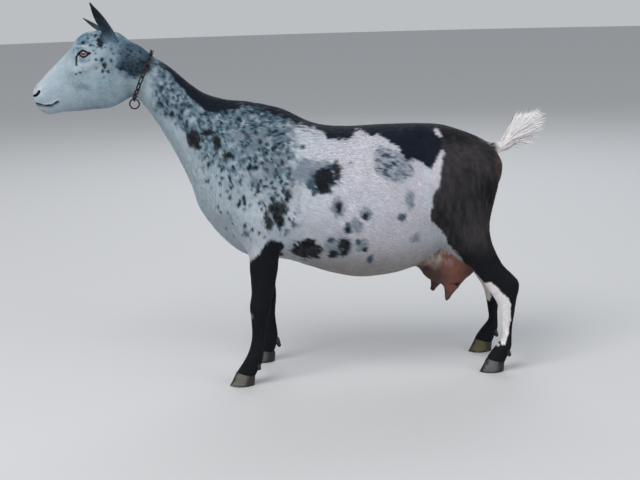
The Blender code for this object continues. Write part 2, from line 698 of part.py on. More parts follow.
def ear(name, root, tip, opening):
    """A cupped leaf from root to tip that opens one way, rolled to a tube at its root."""
    long_steps, cross_steps = 9, 6
    root, tip = Vector(root), Vector(tip)
    axis = (tip - root).normalized()
    length = (tip - root).length
    face = Vector(opening)
    face -= axis * face.dot(axis)
    face.normalize()
    across = axis.cross(face)
    middle = np.empty((long_steps + 1, cross_steps + 1, 3))
    for i in range(long_steps + 1):
        t = i / long_steps
        belly = math.sin(math.pi * min(t / 0.9, 1.0)) ** 0.8
        width = EAR_WIDTH * (0.48 + 0.52 * belly) * math.sqrt(max(1 - t**4.2, 0.0))
        width = max(width, 0.0016)
        span = math.radians(265 - 175 * min(t / 0.45, 1.0) ** 0.7)
        radius = width / (2 * math.sin(min(span, math.pi) / 2))
        centred = radius * (1 - math.sin(span / 2) / (span / 2))
        bow = EAR_BOW * math.sin(math.pi * t)
        for j in range(cross_steps + 1):
            angle = (j / cross_steps - 0.5) * span
            point = root + axis * (length * t) - face * bow
            point += across * (radius * math.sin(angle)) + face * (radius * (1 - math.cos(angle)) - centred)
            middle[i, j] = point
    lengthwise = np.gradient(middle, axis=0)
    crosswise = np.gradient(middle, axis=1)
    normal = np.cross(lengthwise, crosswise)
    normal /= np.linalg.norm(normal, axis=2, keepdims=True)
    rim = 1 - 0.5 * np.abs(np.linspace(-1, 1, cross_steps + 1)) ** 3
    half = (EAR_THICKNESS / 2 * rim)[None, :, None]
    sheets = np.concatenate([middle + normal * half, middle - normal * half]).reshape(-1, 3)
    wide, count = cross_steps + 1, middle.shape[0] * middle.shape[1]
    faces = []
    for i in range(long_steps):
        for j in range(cross_steps):
            a, b, c, d = i * wide + j, i * wide + j + 1, (i + 1) * wide + j + 1, (i + 1) * wide + j
            faces += [(a, b, c), (a, c, d)]
            faces += [(count + a, count + c, count + b), (count + a, count + d, count + c)]
    border = [j for j in range(wide)]
    border += [i * wide + cross_steps for i in range(1, long_steps + 1)]
    border += [long_steps * wide + j for j in range(cross_steps - 1, -1, -1)]
    border += [i * wide for i in range(long_steps - 1, 0, -1)]
    for a, b in zip(border, border[1:] + border[:1]):
        faces.append((b, a, count + a, count + b))
    return outward(mesh_object(name, sheets, faces))


def make_ears(head):
    clear = grown(head, GAP)
    made = []
    far_root = (EAR_ROOT[0], -EAR_ROOT[1], EAR_ROOT[2])
    for name, root, tip, opening in (
        ("ear_left", EAR_ROOT, EAR_TIP, EAR_OPENS),
        ("ear_right", far_root, FAR_EAR_TIP, FAR_EAR_OPENS),
    ):
        leaf = ear(name, root, tip, opening)
        boolean(leaf, clear, "DIFFERENCE")
        made.append(largest_body(leaf))
    remove(clear)
    return made


def coronet(side, fore):
    """Front and rear points where the hoof wall begins."""
    front, rear = FORE_CORONET if fore else HIND_CORONET
    back = (RIGHT_FORE_BACK if fore else RIGHT_HIND_BACK) if side == RIGHT else 0.0
    return (front[0] + back, front[1]), (rear[0] + back, rear[1])


def foot_out(side, fore):
    if fore:
        return side * FORE_LEG[-1][-1]
    return side * (HIND_LEG[-1][-1] - (RIGHT_HIND_IN if side == RIGHT else 0.0))


def claw(name, front, rear, middle, outer):
    """One half of a hoof: flat sole, straight inner wall and a curved outer wall that runs to the toe."""
    toe_x = front[0] - TOE_AHEAD
    heel_x = rear[0] - HEEL_AHEAD
    levels = (0.0, 0.35, 0.75, 1.0)
    sides = 14
    rings = []
    for level in levels:
        ring = []
        for j in range(sides):
            angle = 2 * math.pi * j / sides
            along = 0.5 - 0.5 * math.cos(angle)
            top_x = front[0] + (rear[0] - front[0]) * along
            top_z = front[1] + (rear[1] - front[1]) * along - GAP * 1.5
            low_x = toe_x + (heel_x - toe_x) * along
            lean = level**0.9
            reach = math.sin(angle)
            round_out = math.sin(math.pi * min(along * 1.15 + 0.06, 1.0)) ** 0.55
            bulge = HOOF_WIDTH * (0.88 - 0.10 * level) * round_out
            y = CLAW_GAP / 2 + (bulge * reach if reach > 0 else 0.0)
            ring.append((low_x + (top_x - low_x) * lean, middle + outer * y, top_z * level))
        rings.append(ring)
    return outward(mesh_object(name, [p for ring in rings for p in ring], ring_faces(len(levels), sides)))


def dewclaw(name, front, rear, middle, outer, clear):
    """A small horn cone behind the fetlock, sunk in the flesh and then cut clear of it."""
    root = Vector((rear[0], middle, rear[1])) + Vector((DEWCLAW_AT[0], outer * DEWCLAW_AT[1], DEWCLAW_AT[2]))
    tip = root + Vector((DEWCLAW_REACH[0], outer * DEWCLAW_REACH[1], DEWCLAW_REACH[2]))
    axis = (tip - root).normalized()
    start = root - axis * DEWCLAW_SINK
    depth = (tip - start).length
    bm = bmesh.new()
    bmesh.ops.create_cone(bm, cap_ends=True, segments=8, radius1=DEWCLAW_RADII[0], radius2=DEWCLAW_RADII[1], depth=depth)
    turn = Vector((0, 0, 1)).rotation_difference(axis).to_matrix().to_4x4()
    bmesh.ops.transform(bm, matrix=Matrix.Translation((start + tip) / 2) @ turn, verts=bm.verts)
    obj = object_of(name, bm)
    boolean(obj, clear, "DIFFERENCE")
    return largest_body(obj)


def make_feet(body, clear):
    """Cuts the flesh off at each coronet and sets the claws under it."""
    made = []
    for fore in (True, False):
        for side in (LEFT, RIGHT):
            front, rear = coronet(side, fore)
            middle = foot_out(side, fore)
            slope = math.atan2(front[1] - rear[1], rear[0] - front[0])
            low = (front[0] - 0.03, middle - 0.035, front[1] - 0.1)
            high = (rear[0] + 0.03, middle + 0.035, front[1])
            below = box_between("below", low, high, slope, (front[0], middle, front[1]))
            boolean(body, below, "DIFFERENCE")
            remove(below)
            leg = ("fore" if fore else "hind") + ("_left" if side == LEFT else "_right")
            for outer, place in ((side, "outer"), (-side, "inner")):
                made.append(claw(f"claw_{leg}_{place}", front, rear, middle, outer))
                made.append(dewclaw(f"dewclaw_{leg}_{place}", front, rear, middle, outer, clear))
    return made


def leg_region(side, fore):
    rows = FORE_REGION if fore else HIND_REGION
    rows = [(*row[:5], 0.5, REGION_POWER, REGION_POWER, side * row[5]) for row in rows]
    return loft("region", rows, 13, 14)


def udder(clear):
    """Two halves with a teat each, hung between the thighs."""
    forms = []
    steps = 6
    for side, (top, tip) in TEATS.items():
        forms.append(ellipsoid("half", UDDER_CENTRE, UDDER_RADII, UDDER_LEAN, side))
        for i in range(steps + 1):
            t = i / steps
            size = TEAT_ROOT_FLARE * (1 - t) ** 1.4 + TEAT_TIP_RADIUS
            forms.append(ball("teat", Vector(top).lerp(Vector(tip), t), size, 2))
    bag = joined("udder", forms)
    remeshed(bag, UDDER_VOXEL, 4)
    thinned(bag, UDDER_TRIANGLES)
    boolean(bag, clear, "DIFFERENCE")
    return largest_body(bag)


def lock(root, middle, tip, normal, steps=4):
    """A flat lock of hair that bends from its root to its tip and tapers."""
    normal = Vector(normal).normalized()
    points = []
    for i in range(steps + 1):
        t = i / steps
        spot = root * (1 - t) ** 2 + middle * (2 * t * (1 - t)) + tip * t**2
        ahead = (middle - root) * (1 - t) + (tip - middle) * t
        across = ahead.cross(normal).normalized()
        flat = across.cross(ahead).normalized()
        taper = math.sqrt(max(1 - t**1.6, 0.0)) * 0.94 + 0.06
        w, h = LOCK_WIDTH / 2 * taper, LOCK_THICKNESS / 2 * (0.35 + 0.65 * taper)
        points += [spot + across * w, spot + flat * h, spot - across * w, spot - flat * h]
    return outward(mesh_object("lock", points, ring_faces(steps + 1, 4)))


def make_tail(clear):
    """The short dock with the fan of long hair that grows from it."""
    dock = loft("tail", [(*row, 0.5, 2.0, 2.0, 0.0) for row in DOCK], 14, 12)
    rand = random.Random(5)
    pieces = bpy.data.collections.new("tail pieces")
    bpy.context.scene.collection.children.link(pieces)
    for i in range(BRUSH_LOCKS):
        fan = i / (BRUSH_LOCKS - 1)
        row = (i % BRUSH_ROWS) / (BRUSH_ROWS - 1) * 2 - 1
        along = ((i * 7) % BRUSH_LOCKS) / BRUSH_LOCKS
        root = Vector((0.404 + 0.036 * along, 0.0050 * row, 0.4300 + 0.036 * along))
        lean = FAN_STEEP + (FAN_FLAT - FAN_STEEP) * fan + rand.uniform(-0.05, 0.05)
        length = BRUSH_LENGTH + BRUSH_MIDDLE_LONGER * math.sin(math.pi * fan)
        length *= (1.12 - 0.34 * along) * rand.uniform(0.95, 1.05)
        spread = FAN_SIDEWAYS * row * (0.55 + 0.45 * math.sin(math.pi * fan))
        first = Vector((math.cos(FAN_START), 0.5 * spread, math.sin(FAN_START)))
        way = Vector((math.cos(lean), spread, math.sin(lean)))
        middle = root + (first * 0.6 + way * 0.4) * length * 0.45
        tip = root + way * length
        turn = rand.uniform(-0.9, 0.9)
        normal = (turn * math.sin(lean), 1.0, -turn * math.cos(lean))
        strand = lock(root - first * 0.006, middle, tip, normal)
        bpy.context.scene.collection.objects.unlink(strand)
        pieces.objects.link(strand)
    fuse = dock.modifiers.new("fuse", "BOOLEAN")
    fuse.operation = "UNION"
    fuse.operand_type = "COLLECTION"
    fuse.collection = pieces
    fuse.solver = "MANIFOLD"
    apply_modifiers(dock)
    remove(*pieces.objects)
    bpy.data.collections.remove(pieces)
    boolean(dock, clear, "DIFFERENCE")
    return largest_body(dock)


def link_mesh(pitch):
    """An oval of round wire, along X and lying in the XY plane, that fits links at this pitch."""
    bends, tube = 3, 5
    straight = (pitch + 2 * LINK_WIRE + LINK_PLAY - LINK_WIDTH) / 2
    radius = (LINK_WIDTH - LINK_WIRE) / 2
    middle = []
    for end in (1, -1):
        for i in range(bends + 1):
            angle = math.pi * (i / bends - 0.5)
            middle.append((end * (straight + radius * math.cos(angle)), end * radius * math.sin(angle)))
    points = []
    for i, (x, y) in enumerate(middle):
        end = 1 if i <= bends else -1
        out = Vector((x - end * straight, y, 0)).normalized()
        for j in range(tube):
            turn = 2 * math.pi * j / tube
            spot = Vector((x, y, 0)) + out * (LINK_WIRE / 2 * math.cos(turn))
            points.append(spot + Vector((0, 0, LINK_WIRE / 2 * math.sin(turn))))
    rings = len(middle)
    faces = []
    for i in range(rings):
        for j in range(tube):
            k, n = (j + 1) % tube, (i + 1) % rings
            faces.append((i * tube + j, i * tube + k, n * tube + k, n * tube + j))
    return points, faces


def collar_path(head, body, count):
    """Points at even steps round the neck, just clear of its surface, with the way out from the neck."""
    nape, throat = Vector(COLLAR_NAPE), Vector(COLLAR_THROAT)
    middle = (nape + throat) / 2
    upright = (nape - throat).normalized()
    trees = [tree_of(head), tree_of(body)]
    lift = (LINK_WIDTH - LINK_WIRE) / 2 * math.sin(math.pi / 4) + LINK_WIRE / 2 + COLLAR_CLEAR
    fine = 240
    ring = []
    for i in range(fine):
        angle = 2 * math.pi * i / fine
        out = upright * math.cos(angle) + Vector((0, -math.sin(angle), 0))
        reach = 0.0
        for tree in trees:
            hit = tree.ray_cast(middle + out * 0.12, -out)
            if hit[0] is not None:
                reach = max(reach, (hit[0] - middle).length)
        ring.append(reach + lift)
    ring = np.array(ring)
    wide = 9
    ring = np.array([max(ring[(i + k) % fine] for k in range(-3, 4)) for i in range(fine)])
    ring = np.array([np.mean([ring[(i + k) % fine] for k in range(-wide, wide + 1)]) for i in range(fine)])
    points = []
    for i in range(fine):
        angle = 2 * math.pi * i / fine
        out = upright * math.cos(angle) + Vector((0, -math.sin(angle), 0))
        points.append(middle + out * float(ring[i]))
    loop = np.array([*points, points[0]])
    along = np.concatenate([[0], np.cumsum(np.linalg.norm(np.diff(loop, axis=0), axis=1))])
    wanted = np.linspace(0, along[-1], count, endpoint=False)
    spots = np.column_stack([np.interp(wanted, along, column) for column in loop.T])
    return spots, along[-1], middle


def ring_mesh(bends=14, tube=5):
    """A round ring of wire in the XY plane."""
    points = []
    faces = []
    for i in range(bends):
        angle = 2 * math.pi * i / bends
        out = Vector((math.cos(angle), math.sin(angle), 0))
        for j in range(tube):
            turn = 2 * math.pi * j / tube
            up = Vector((0, 0, LINK_WIRE / 2 * math.sin(turn)))
            points.append(out * (RING_RADIUS + LINK_WIRE / 2 * math.cos(turn)) + up)
            k, n = (j + 1) % tube, (i + 1) % bends
            faces.append((i * tube + j, i * tube + k, n * tube + k, n * tube + j))
    return points, faces


def make_collar(head, body):
    """Links set at right angles to their neighbours, and a ring that hangs from the one at the throat."""
    count = LINK_COUNT
    spots, around, middle = collar_path(head, body, count)
    points, faces = link_mesh(around / count)
    made = []
    for i in range(count):
        spot = Vector(spots[i])
        ahead = (Vector(spots[(i + 1) % count]) - Vector(spots[i - 1])).normalized()
        out = spot - middle
        out = (out - ahead * out.dot(ahead)).normalized()
        side = out.cross(ahead)
        tilt = math.radians(45 if i % 2 else -45)
        across = side * math.cos(tilt) + out * math.sin(tilt)
        normal = ahead.cross(across)
        place = Matrix((ahead, across, normal)).transposed().to_4x4()
        link = mesh_object(f"collar_link_{i + 1:02d}", [place @ Vector(p) + spot for p in points], faces)
        made.append(outward(link))
        if i == count // 2:
            hang = across if across.z < 0 else -across
            away = normal if normal.dot(out) > 0 else -normal
            fall = hang * math.cos(RING_LEAN) + away * math.sin(RING_LEAN)
            wire_at = spot + hang * ((LINK_WIDTH - LINK_WIRE) / 2)
            centre = wire_at + fall * (RING_RADIUS - LINK_WIRE - LINK_PLAY / 2)
            turn = Matrix((fall, ahead.cross(fall), ahead)).transposed()
            ring_points, ring_quads = ring_mesh()
            ring = mesh_object("collar_ring", [turn @ p + centre for p in ring_points], ring_quads)
            made.append(outward(ring))
    return made


def finish(obj, look):
    obj.data.materials.clear()
    obj.data.materials.append(look)
    obj.data.shade_smooth()
    obj.data.set_sharp_from_angle(angle=math.radians(50))


def main():
    clear_scene()
    body = body_flesh()
    head = head_flesh()
    clear_body = grown(body, GAP)
    bag = udder(clear_body)
    tail = make_tail(clear_body)
    feet = make_feet(body, clear_body)
    remove(clear_body)
    ears = make_ears(head)
    eyes = make_eyes(head)
    links = make_collar(head, body)

    ahead = front_of("ahead", *HEAD_CUT)
    ahead_clear = front_of("ahead clear", *HEAD_CUT, -GAP)
    boolean(head, ahead_clear, "INTERSECT")
    boolean(body, ahead, "DIFFERENCE")
    remove(ahead, ahead_clear)
    neck = parted(body, "neck", front_of("neck front", *NECK_CUT), front_of("neck back", *NECK_CUT, GAP))
    legs = []
    for side, where in ((LEFT, "left"), (RIGHT, "right")):
        for fore, what in ((True, "leg_front"), (False, "leg_hind")):
            region = leg_region(side, fore)
            legs.append(parted(body, f"{what}_{where}", region, grown(region, 1.3 * GAP)))
    largest_body(body)
    body.name = "torso"
    head.name = "head"

    coat = material("coat", COAT, 0.85)
    roan = material("roan coat", ROAN, 0.85)
    dark = material("dark coat", DARK, 0.80)
    skin = material("udder skin", (0.40, 0.20, 0.16), 0.60)
    horn = material("hoof horn", (0.22, 0.19, 0.16), 0.50)
    iris = material("eye", (0.30, 0.20, 0.14), 0.15)
    steel = material("blackened steel", (0.03, 0.03, 0.035), 0.35, 0.9)
    for obj in (body, head, tail):
        finish(obj, coat)
    finish(neck, roan)
    for obj in (*legs, *ears):
        finish(obj, dark)
    finish(bag, skin)
    for obj in feet:
        finish(obj, horn)
    for obj in eyes:
        finish(obj, iris)
    for obj in links:
        finish(obj, steel)


main()
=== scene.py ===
import math

import bmesh
import bpy
import numpy as np
from mathutils import Matrix, Vector
from mathutils.bvhtree import BVHTree


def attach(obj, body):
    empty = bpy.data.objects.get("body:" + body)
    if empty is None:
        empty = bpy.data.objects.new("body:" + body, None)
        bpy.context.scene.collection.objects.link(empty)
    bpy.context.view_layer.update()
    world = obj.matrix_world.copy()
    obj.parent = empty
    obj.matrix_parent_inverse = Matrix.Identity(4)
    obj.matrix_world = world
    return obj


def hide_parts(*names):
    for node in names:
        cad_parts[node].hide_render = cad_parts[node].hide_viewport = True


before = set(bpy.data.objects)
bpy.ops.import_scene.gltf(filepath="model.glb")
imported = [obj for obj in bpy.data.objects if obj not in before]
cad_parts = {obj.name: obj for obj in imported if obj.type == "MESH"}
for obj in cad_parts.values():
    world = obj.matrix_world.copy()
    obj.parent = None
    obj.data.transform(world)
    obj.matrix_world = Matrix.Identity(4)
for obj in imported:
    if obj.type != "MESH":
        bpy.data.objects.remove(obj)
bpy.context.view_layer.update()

# A Nigerian Dwarf doe: skin, coat, eyes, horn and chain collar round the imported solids.
# Metres, +Z up. She faces -X and her left side is at -Y.
LEFT = -1
RIGHT = 1

# Detail: steps between stations, rings and sides of each form, size of the voxels
CURVE_STEPS = 12
TRUNK_RINGS = 90
HEAD_RINGS = 80
LEG_RINGS = {"fore": 80, "hind": 84}
DOCK_RINGS = 40
BODY_SIDES = 72
LEG_SIDES = 36
DOCK_SIDES = 24
SKIN_VOXEL = 0.0045
MUZZLE_VOXEL = 0.0013
# The skin has finer faces ahead of the head's cut by this, below these heights and close to eyes and nostrils
FINE_HEAD = -0.006
FINE_LIMBS_TOP = 0.200
FINE_UDDER_TOP = 0.24
FINE_EYE = 1.9
FINE_NOSTRIL = 0.006
# Over this range of x the fine form of the head takes over from the voxels
HEAD_TAKEOVER = (-0.325, -0.300)

# The photo's camera: its place, and its turn, pitch and roll in degrees
CAMERA_AT = (-0.1777, -2.5459, 0.778)
CAMERA_ANGLES = (5.0, 11.45, 1.7)
LENS = 75.49

# The studio: floor, surroundings and lights (place, size, power, colour)
FLOOR_RADIUS = 14.0
FLOOR_TONE = (0.52, 0.525, 0.535, 1)
STUDIO_TONE = (0.86, 0.89, 0.93, 1)
STUDIO_STRENGTH = 0.58
LIT_POINT = (0.0, 0.0, 0.35)
LIGHTS = {
    "key": ((-1.7, -1.9, 3.2), (2.2, 2.2), 108, (1.0, 0.985, 0.96)),
    "fill": ((2.6, -2.4, 1.8), (2.4, 2.4), 33, (0.94, 0.97, 1.0)),
    "back": ((0.6, 3.0, 2.6), (2.6, 1.6), 45, (0.95, 0.97, 1.0)),
}

# Each station is a ring between a top and a bottom point on the middle plane:
# top x, top z, bottom x, bottom z, half width, height of the widest place, top power, bottom power
TRUNK = (
    (-0.330, 0.655, -0.318, 0.562, 0.034, 0.50, 2.0, 2.0),
    (-0.286, 0.650, -0.301, 0.554, 0.037, 0.50, 2.0, 2.0),
    (-0.260, 0.628, -0.289, 0.546, 0.040, 0.50, 2.0, 2.0),
    (-0.227, 0.605, -0.264, 0.512, 0.0445, 0.48, 1.9, 2.0),
    (-0.195, 0.576, -0.242, 0.474, 0.051, 0.46, 1.8, 2.0),
    (-0.166, 0.555, -0.216, 0.422, 0.061, 0.44, 1.7, 2.0),
    (-0.129, 0.542, -0.197, 0.375, 0.072, 0.42, 1.6, 2.0),
    (-0.091, 0.537, -0.185, 0.334, 0.081, 0.42, 1.6, 2.0),
    (-0.071, 0.533, -0.146, 0.278, 0.086, 0.42, 1.6, 2.1),
    (-0.045, 0.527, -0.096, 0.239, 0.090, 0.42, 1.7, 2.1),
    (-0.016, 0.518, -0.025, 0.228, 0.098, 0.43, 1.8, 2.1),
    (0.025, 0.496, 0.024, 0.211, 0.110, 0.44, 1.9, 2.1),
    (0.059, 0.485, 0.062, 0.198, 0.119, 0.44, 2.0, 2.1),
    (0.109, 0.481, 0.112, 0.187, 0.126, 0.43, 2.0, 2.1),
    (0.155, 0.482, 0.160, 0.188, 0.124, 0.43, 2.0, 2.1),
    (0.200, 0.482, 0.205, 0.195, 0.114, 0.44, 2.0, 2.1),
    (0.245, 0.481, 0.252, 0.212, 0.100, 0.48, 2.0, 2.0),
    (0.286, 0.477, 0.306, 0.250, 0.088, 0.52, 2.1, 2.0),
    (0.320, 0.466, 0.352, 0.300, 0.077, 0.54, 2.1, 2.0),
    (0.350, 0.454, 0.382, 0.335, 0.063, 0.54, 2.1, 2.0),
    (0.375, 0.440, 0.399, 0.360, 0.046, 0.54, 2.1, 2.0),
    (0.391, 0.425, 0.405, 0.380, 0.028, 0.50, 2.0, 2.0),
)
HEAD = (
    (-0.4825, 0.5705, -0.4835, 0.5570, 0.0090, 0.50, 2.0, 2.0),
    (-0.4795, 0.5760, -0.4805, 0.5470, 0.0165, 0.55, 2.0, 2.2),
    (-0.4731, 0.5834, -0.4755, 0.5370, 0.0215, 0.58, 2.0, 2.2),
    (-0.4640, 0.5920, -0.4655, 0.5280, 0.0240, 0.58, 2.0, 2.2),
    (-0.4553, 0.6013, -0.4551, 0.5243, 0.0248, 0.56, 1.9, 2.2),
    (-0.4357, 0.6200, -0.4290, 0.5278, 0.0262, 0.58, 1.9, 2.1),
    (-0.4160, 0.6378, -0.4010, 0.5286, 0.0320, 0.64, 2.0, 2.0),
    (-0.4063, 0.6487, -0.3880, 0.5294, 0.0372, 0.70, 2.2, 1.9),
    (-0.3965, 0.6630, -0.3740, 0.5304, 0.0425, 0.74, 2.4, 1.8),
    (-0.3827, 0.6725, -0.3600, 0.5308, 0.0455, 0.74, 2.4, 1.8),
    (-0.3660, 0.6762, -0.3440, 0.5322, 0.0455, 0.70, 2.3, 1.8),
    (-0.3494, 0.6760, -0.3290, 0.5372, 0.0440, 0.62, 2.2, 1.9),
    (-0.3330, 0.6745, -0.3150, 0.5445, 0.0415, 0.56, 2.1, 2.0),
    (-0.3180, 0.6710, -0.3045, 0.5500, 0.0390, 0.52, 2.0, 2.0),
    (-0.3060, 0.6620, -0.2990, 0.5570, 0.0350, 0.50, 2.0, 2.0),
    (-0.2900, 0.6480, -0.2900, 0.5700, 0.0270, 0.50, 2.0, 2.0),
)
# Each leg station is a ring between a front and a rear point:
# front x, front z, rear x, rear z, half width, distance from the middle plane
FORE_LEG = (
    (-0.125, 0.365, -0.030, 0.372, 0.028, 0.058),
    (-0.128, 0.330, -0.026, 0.335, 0.031, 0.062),
    (-0.118, 0.295, -0.025, 0.300, 0.031, 0.065),
    (-0.104, 0.268, -0.030, 0.274, 0.028, 0.068),
    (-0.0968, 0.245, -0.0385, 0.249, 0.0255, 0.0705),
    (-0.0968, 0.222, -0.0415, 0.226, 0.0230, 0.0725),
    (-0.0962, 0.200, -0.0457, 0.202, 0.0207, 0.0735),
    (-0.0952, 0.179, -0.0505, 0.180, 0.0188, 0.0745),
    (-0.0985, 0.162, -0.0560, 0.163, 0.0186, 0.0750),
    (-0.0999, 0.148, -0.0572, 0.148, 0.0190, 0.0750),
    (-0.0985, 0.134, -0.0605, 0.133, 0.0176, 0.0750),
    (-0.0980, 0.120, -0.0648, 0.119, 0.0146, 0.0750),
    (-0.0978, 0.100, -0.0703, 0.099, 0.0124, 0.0752),
    (-0.1000, 0.082, -0.0728, 0.080, 0.0126, 0.0755),
    (-0.1040, 0.069, -0.0746, 0.065, 0.0146, 0.0757),
    (-0.1085, 0.0575, -0.0763, 0.052, 0.0168, 0.0760),
    (-0.1150, 0.0470, -0.0793, 0.041, 0.0168, 0.0762),
    (-0.1215, 0.0375, -0.0848, 0.0315, 0.0165, 0.0765),
    (-0.1285, 0.0280, -0.0912, 0.0205, 0.0172, 0.0767),
    (-0.1330, 0.0200, -0.0935, 0.0130, 0.0165, 0.0768),
)
HIND_LEG = (
    (0.262, 0.400, 0.384, 0.405, 0.034, 0.048),
    (0.255, 0.355, 0.388, 0.368, 0.039, 0.052),
    (0.251, 0.315, 0.379, 0.336, 0.041, 0.056),
    (0.257, 0.280, 0.370, 0.305, 0.038, 0.060),
    (0.275, 0.254, 0.366, 0.283, 0.032, 0.065),
    (0.300, 0.234, 0.369, 0.260, 0.0265, 0.069),
    (0.322, 0.213, 0.376, 0.238, 0.0220, 0.072),
    (0.336, 0.194, 0.390, 0.212, 0.0190, 0.074),
    (0.3488, 0.179, 0.4080, 0.192, 0.0175, 0.0750),
    (0.3585, 0.1634, 0.4214, 0.176, 0.0172, 0.0755),
    (0.3682, 0.149, 0.4208, 0.160, 0.0166, 0.0755),
    (0.3768, 0.134, 0.4158, 0.1406, 0.0150, 0.0755),
    (0.3820, 0.113, 0.4126, 0.117, 0.0132, 0.0755),
    (0.3857, 0.085, 0.4078, 0.088, 0.0122, 0.0755),
    (0.3868, 0.065, 0.4060, 0.067, 0.0138, 0.0755),
    (0.3778, 0.0545, 0.4064, 0.054, 0.0160, 0.0755),
    (0.3695, 0.0455, 0.4040, 0.041, 0.0162, 0.0755),
    (0.3625, 0.0365, 0.3985, 0.031, 0.0160, 0.0755),
    (0.3565, 0.0280, 0.3940, 0.0210, 0.0168, 0.0755),
    (0.3525, 0.0200, 0.3915, 0.0130, 0.0160, 0.0755),
)
LEG_POWER = 2.1
# The right feet stand further back than the left ones, by this much at the floor and nothing higher up
RIGHT_FORE_BACK = 0.048
RIGHT_HIND_BACK = 0.007
RIGHT_SWING_TOP = 0.24
RIGHT_HIND_IN = 0.008
# Stations of each kind of leg, with how far back and inward its right one lies at the floor
LEGS = {
    "fore": (FORE_LEG, RIGHT_FORE_BACK, 0.0),
    "hind": (HIND_LEG, RIGHT_HIND_BACK, RIGHT_HIND_IN),
}

# The tail's dock: top x, z, bottom x, z, half width
DOCK = (
    (0.362, 0.440, 0.374, 0.408, 0.0120),
    (0.388, 0.4385, 0.392, 0.416, 0.0110),
    (0.404, 0.4400, 0.410, 0.4185, 0.0095),
    (0.416, 0.4460, 0.426, 0.4270, 0.0085),
    (0.426, 0.4570, 0.440, 0.4400, 0.0070),
    (0.438, 0.4700, 0.452, 0.4560, 0.0050),
    (0.448, 0.4790, 0.456, 0.4700, 0.0025),
)
# The udder's halves, each a leaning ball, and the top and tip of each teat
UDDER_CENTRE = (0.293, -0.029, 0.2140)
UDDER_RADII = (0.060, 0.036, 0.0465)
UDDER_LEAN = -6
TEATS = {
    LEFT: ((0.3000, -0.033, 0.180), (0.2868, -0.037, 0.1405)),
    RIGHT: ((0.2850, 0.031, 0.180), (0.2712, 0.034, 0.1430)),
}
TEAT_TIP_RADIUS = 0.0066
TEAT_ROOT_FLARE = 0.0150
TEAT_BALLS = 11
# How far round the balls, in radii, and round the teats the bare skin reaches
UDDER_REACH = 1.10
TEAT_REACH = 0.016
UDDER_TOP = 0.262

# Muscles, bones and hollows, the same on both sides: the side view's path (x, z), width and rise
TRUNK_FORMS = (
    ("shoulder blade", ((-0.080, 0.490), (-0.122, 0.405)), 0.034, 0.006),
    ("shoulder point", ((-0.150, 0.368), (-0.146, 0.352)), 0.030, 0.006),
    ("upper arm", ((-0.128, 0.340), (-0.060, 0.312)), 0.032, 0.007),
    ("behind the shoulder", ((-0.036, 0.460), (-0.020, 0.340)), 0.020, -0.004),
    ("in front of the shoulder", ((-0.128, 0.500), (-0.172, 0.420)), 0.018, -0.003),
    ("flank hollow", ((0.236, 0.435), (0.232, 0.405)), 0.030, -0.007),
    ("hip", ((0.266, 0.462), (0.262, 0.458)), 0.016, 0.004),
    ("thigh", ((0.335, 0.385), (0.300, 0.300)), 0.042, 0.006),
    ("hollow behind the hip", ((0.318, 0.435), (0.345, 0.425)), 0.020, -0.003),
    ("hock hollow", ((0.364, 0.240), (0.380, 0.212)), 0.011, -0.002),
)
HEAD_FORMS = (
    ("bulge of the eye", ((-0.383, 0.640),), 0.0150, 0.0035),
    ("brow", ((-0.399, 0.646), (-0.386, 0.6535), (-0.368, 0.649)), 0.0060, 0.0024),
    ("hollow below the inner corner", ((-0.406, 0.622),), 0.0095, -0.0030),
    ("cheekbone", ((-0.402, 0.606), (-0.378, 0.612), (-0.348, 0.627)), 0.0080, 0.0022),
    ("temple", ((-0.352, 0.655),), 0.0110, -0.0020),
    ("jaw muscle", ((-0.352, 0.576),), 0.0230, 0.0035),
    ("hollow of the cheek", ((-0.405, 0.572),), 0.0170, -0.0028),
    ("side of the nose", ((-0.440, 0.590),), 0.0120, -0.0016),
    ("upper lip", ((-0.467, 0.557),), 0.0090, 0.0016),
    ("wing of the nostril", ((-0.4735, 0.5695), (-0.4700, 0.5730)), 0.0065, 0.0024),
    ("lower lip", ((-0.470, 0.538), (-0.456, 0.536)), 0.0060, 0.0012),
)
MOUTH = ((-0.4790, 0.5487), (-0.4700, 0.5455), (-0.4612, 0.5430), (-0.4483, 0.5434), (-0.4368, 0.5500))
MOUTH_WIDTH = 0.001488
MOUTH_DEPTH = 0.00336
MOUTH_FRONT_HEIGHT = 0.5500
LIP_OVER_MOUTH = 0.0034
PHILTRUM = ((-0.4835, 0, 0.5640), (-0.4822, 0, 0.5525))
# Where the voxel forms are evened out: x, distance from the middle plane, z, radius, times
BODY_BLENDS = (
    (-0.080, 0.085, 0.320, 0.095, 26),
    (0.290, 0.075, 0.320, 0.120, 30),
    (0.370, 0.040, 0.370, 0.070, 20),
)
HEAD_BLENDS = ((-0.303, 0.037, 0.605, 0.060, 40),)
# The nostril is a slit that curves up and back: the side view's points and its depth
NOSTRIL = ((-0.4800, 0.5612), (-0.4762, 0.5622), (-0.4722, 0.5655), (-0.4696, 0.5695))
NOSTRIL_DEPTH = 0.0055
NOSTRIL_REACH = 0.0019
NOSTRIL_INWARD = (0.55, 0.80, 0.10)

# The point of the rump beside the tail, as x, distance from the middle plane and z
PIN_BONE = (0.390, 0.034, 0.400)
PIN_BONE_WIDTH = 0.016
PIN_BONE_RISE = 0.004

EYE_RADIUS = 0.0112
EYE_AT = (-0.3833, 0.6372)
EYE_AXIS = (-0.30, -0.95, 0.06)
EYE_COVER = 0.0008
EYE_RINGS = 90
EYE_SIDES = 96
CORNEA_BULGE = 0.00045
IRIS_RADIUS = 0.0068
PUPIL_HALF_LENGTH = 0.0026
PUPIL_HALF_HEIGHT = 0.0016
LID_OPENING = (0.0164, 0.0090)

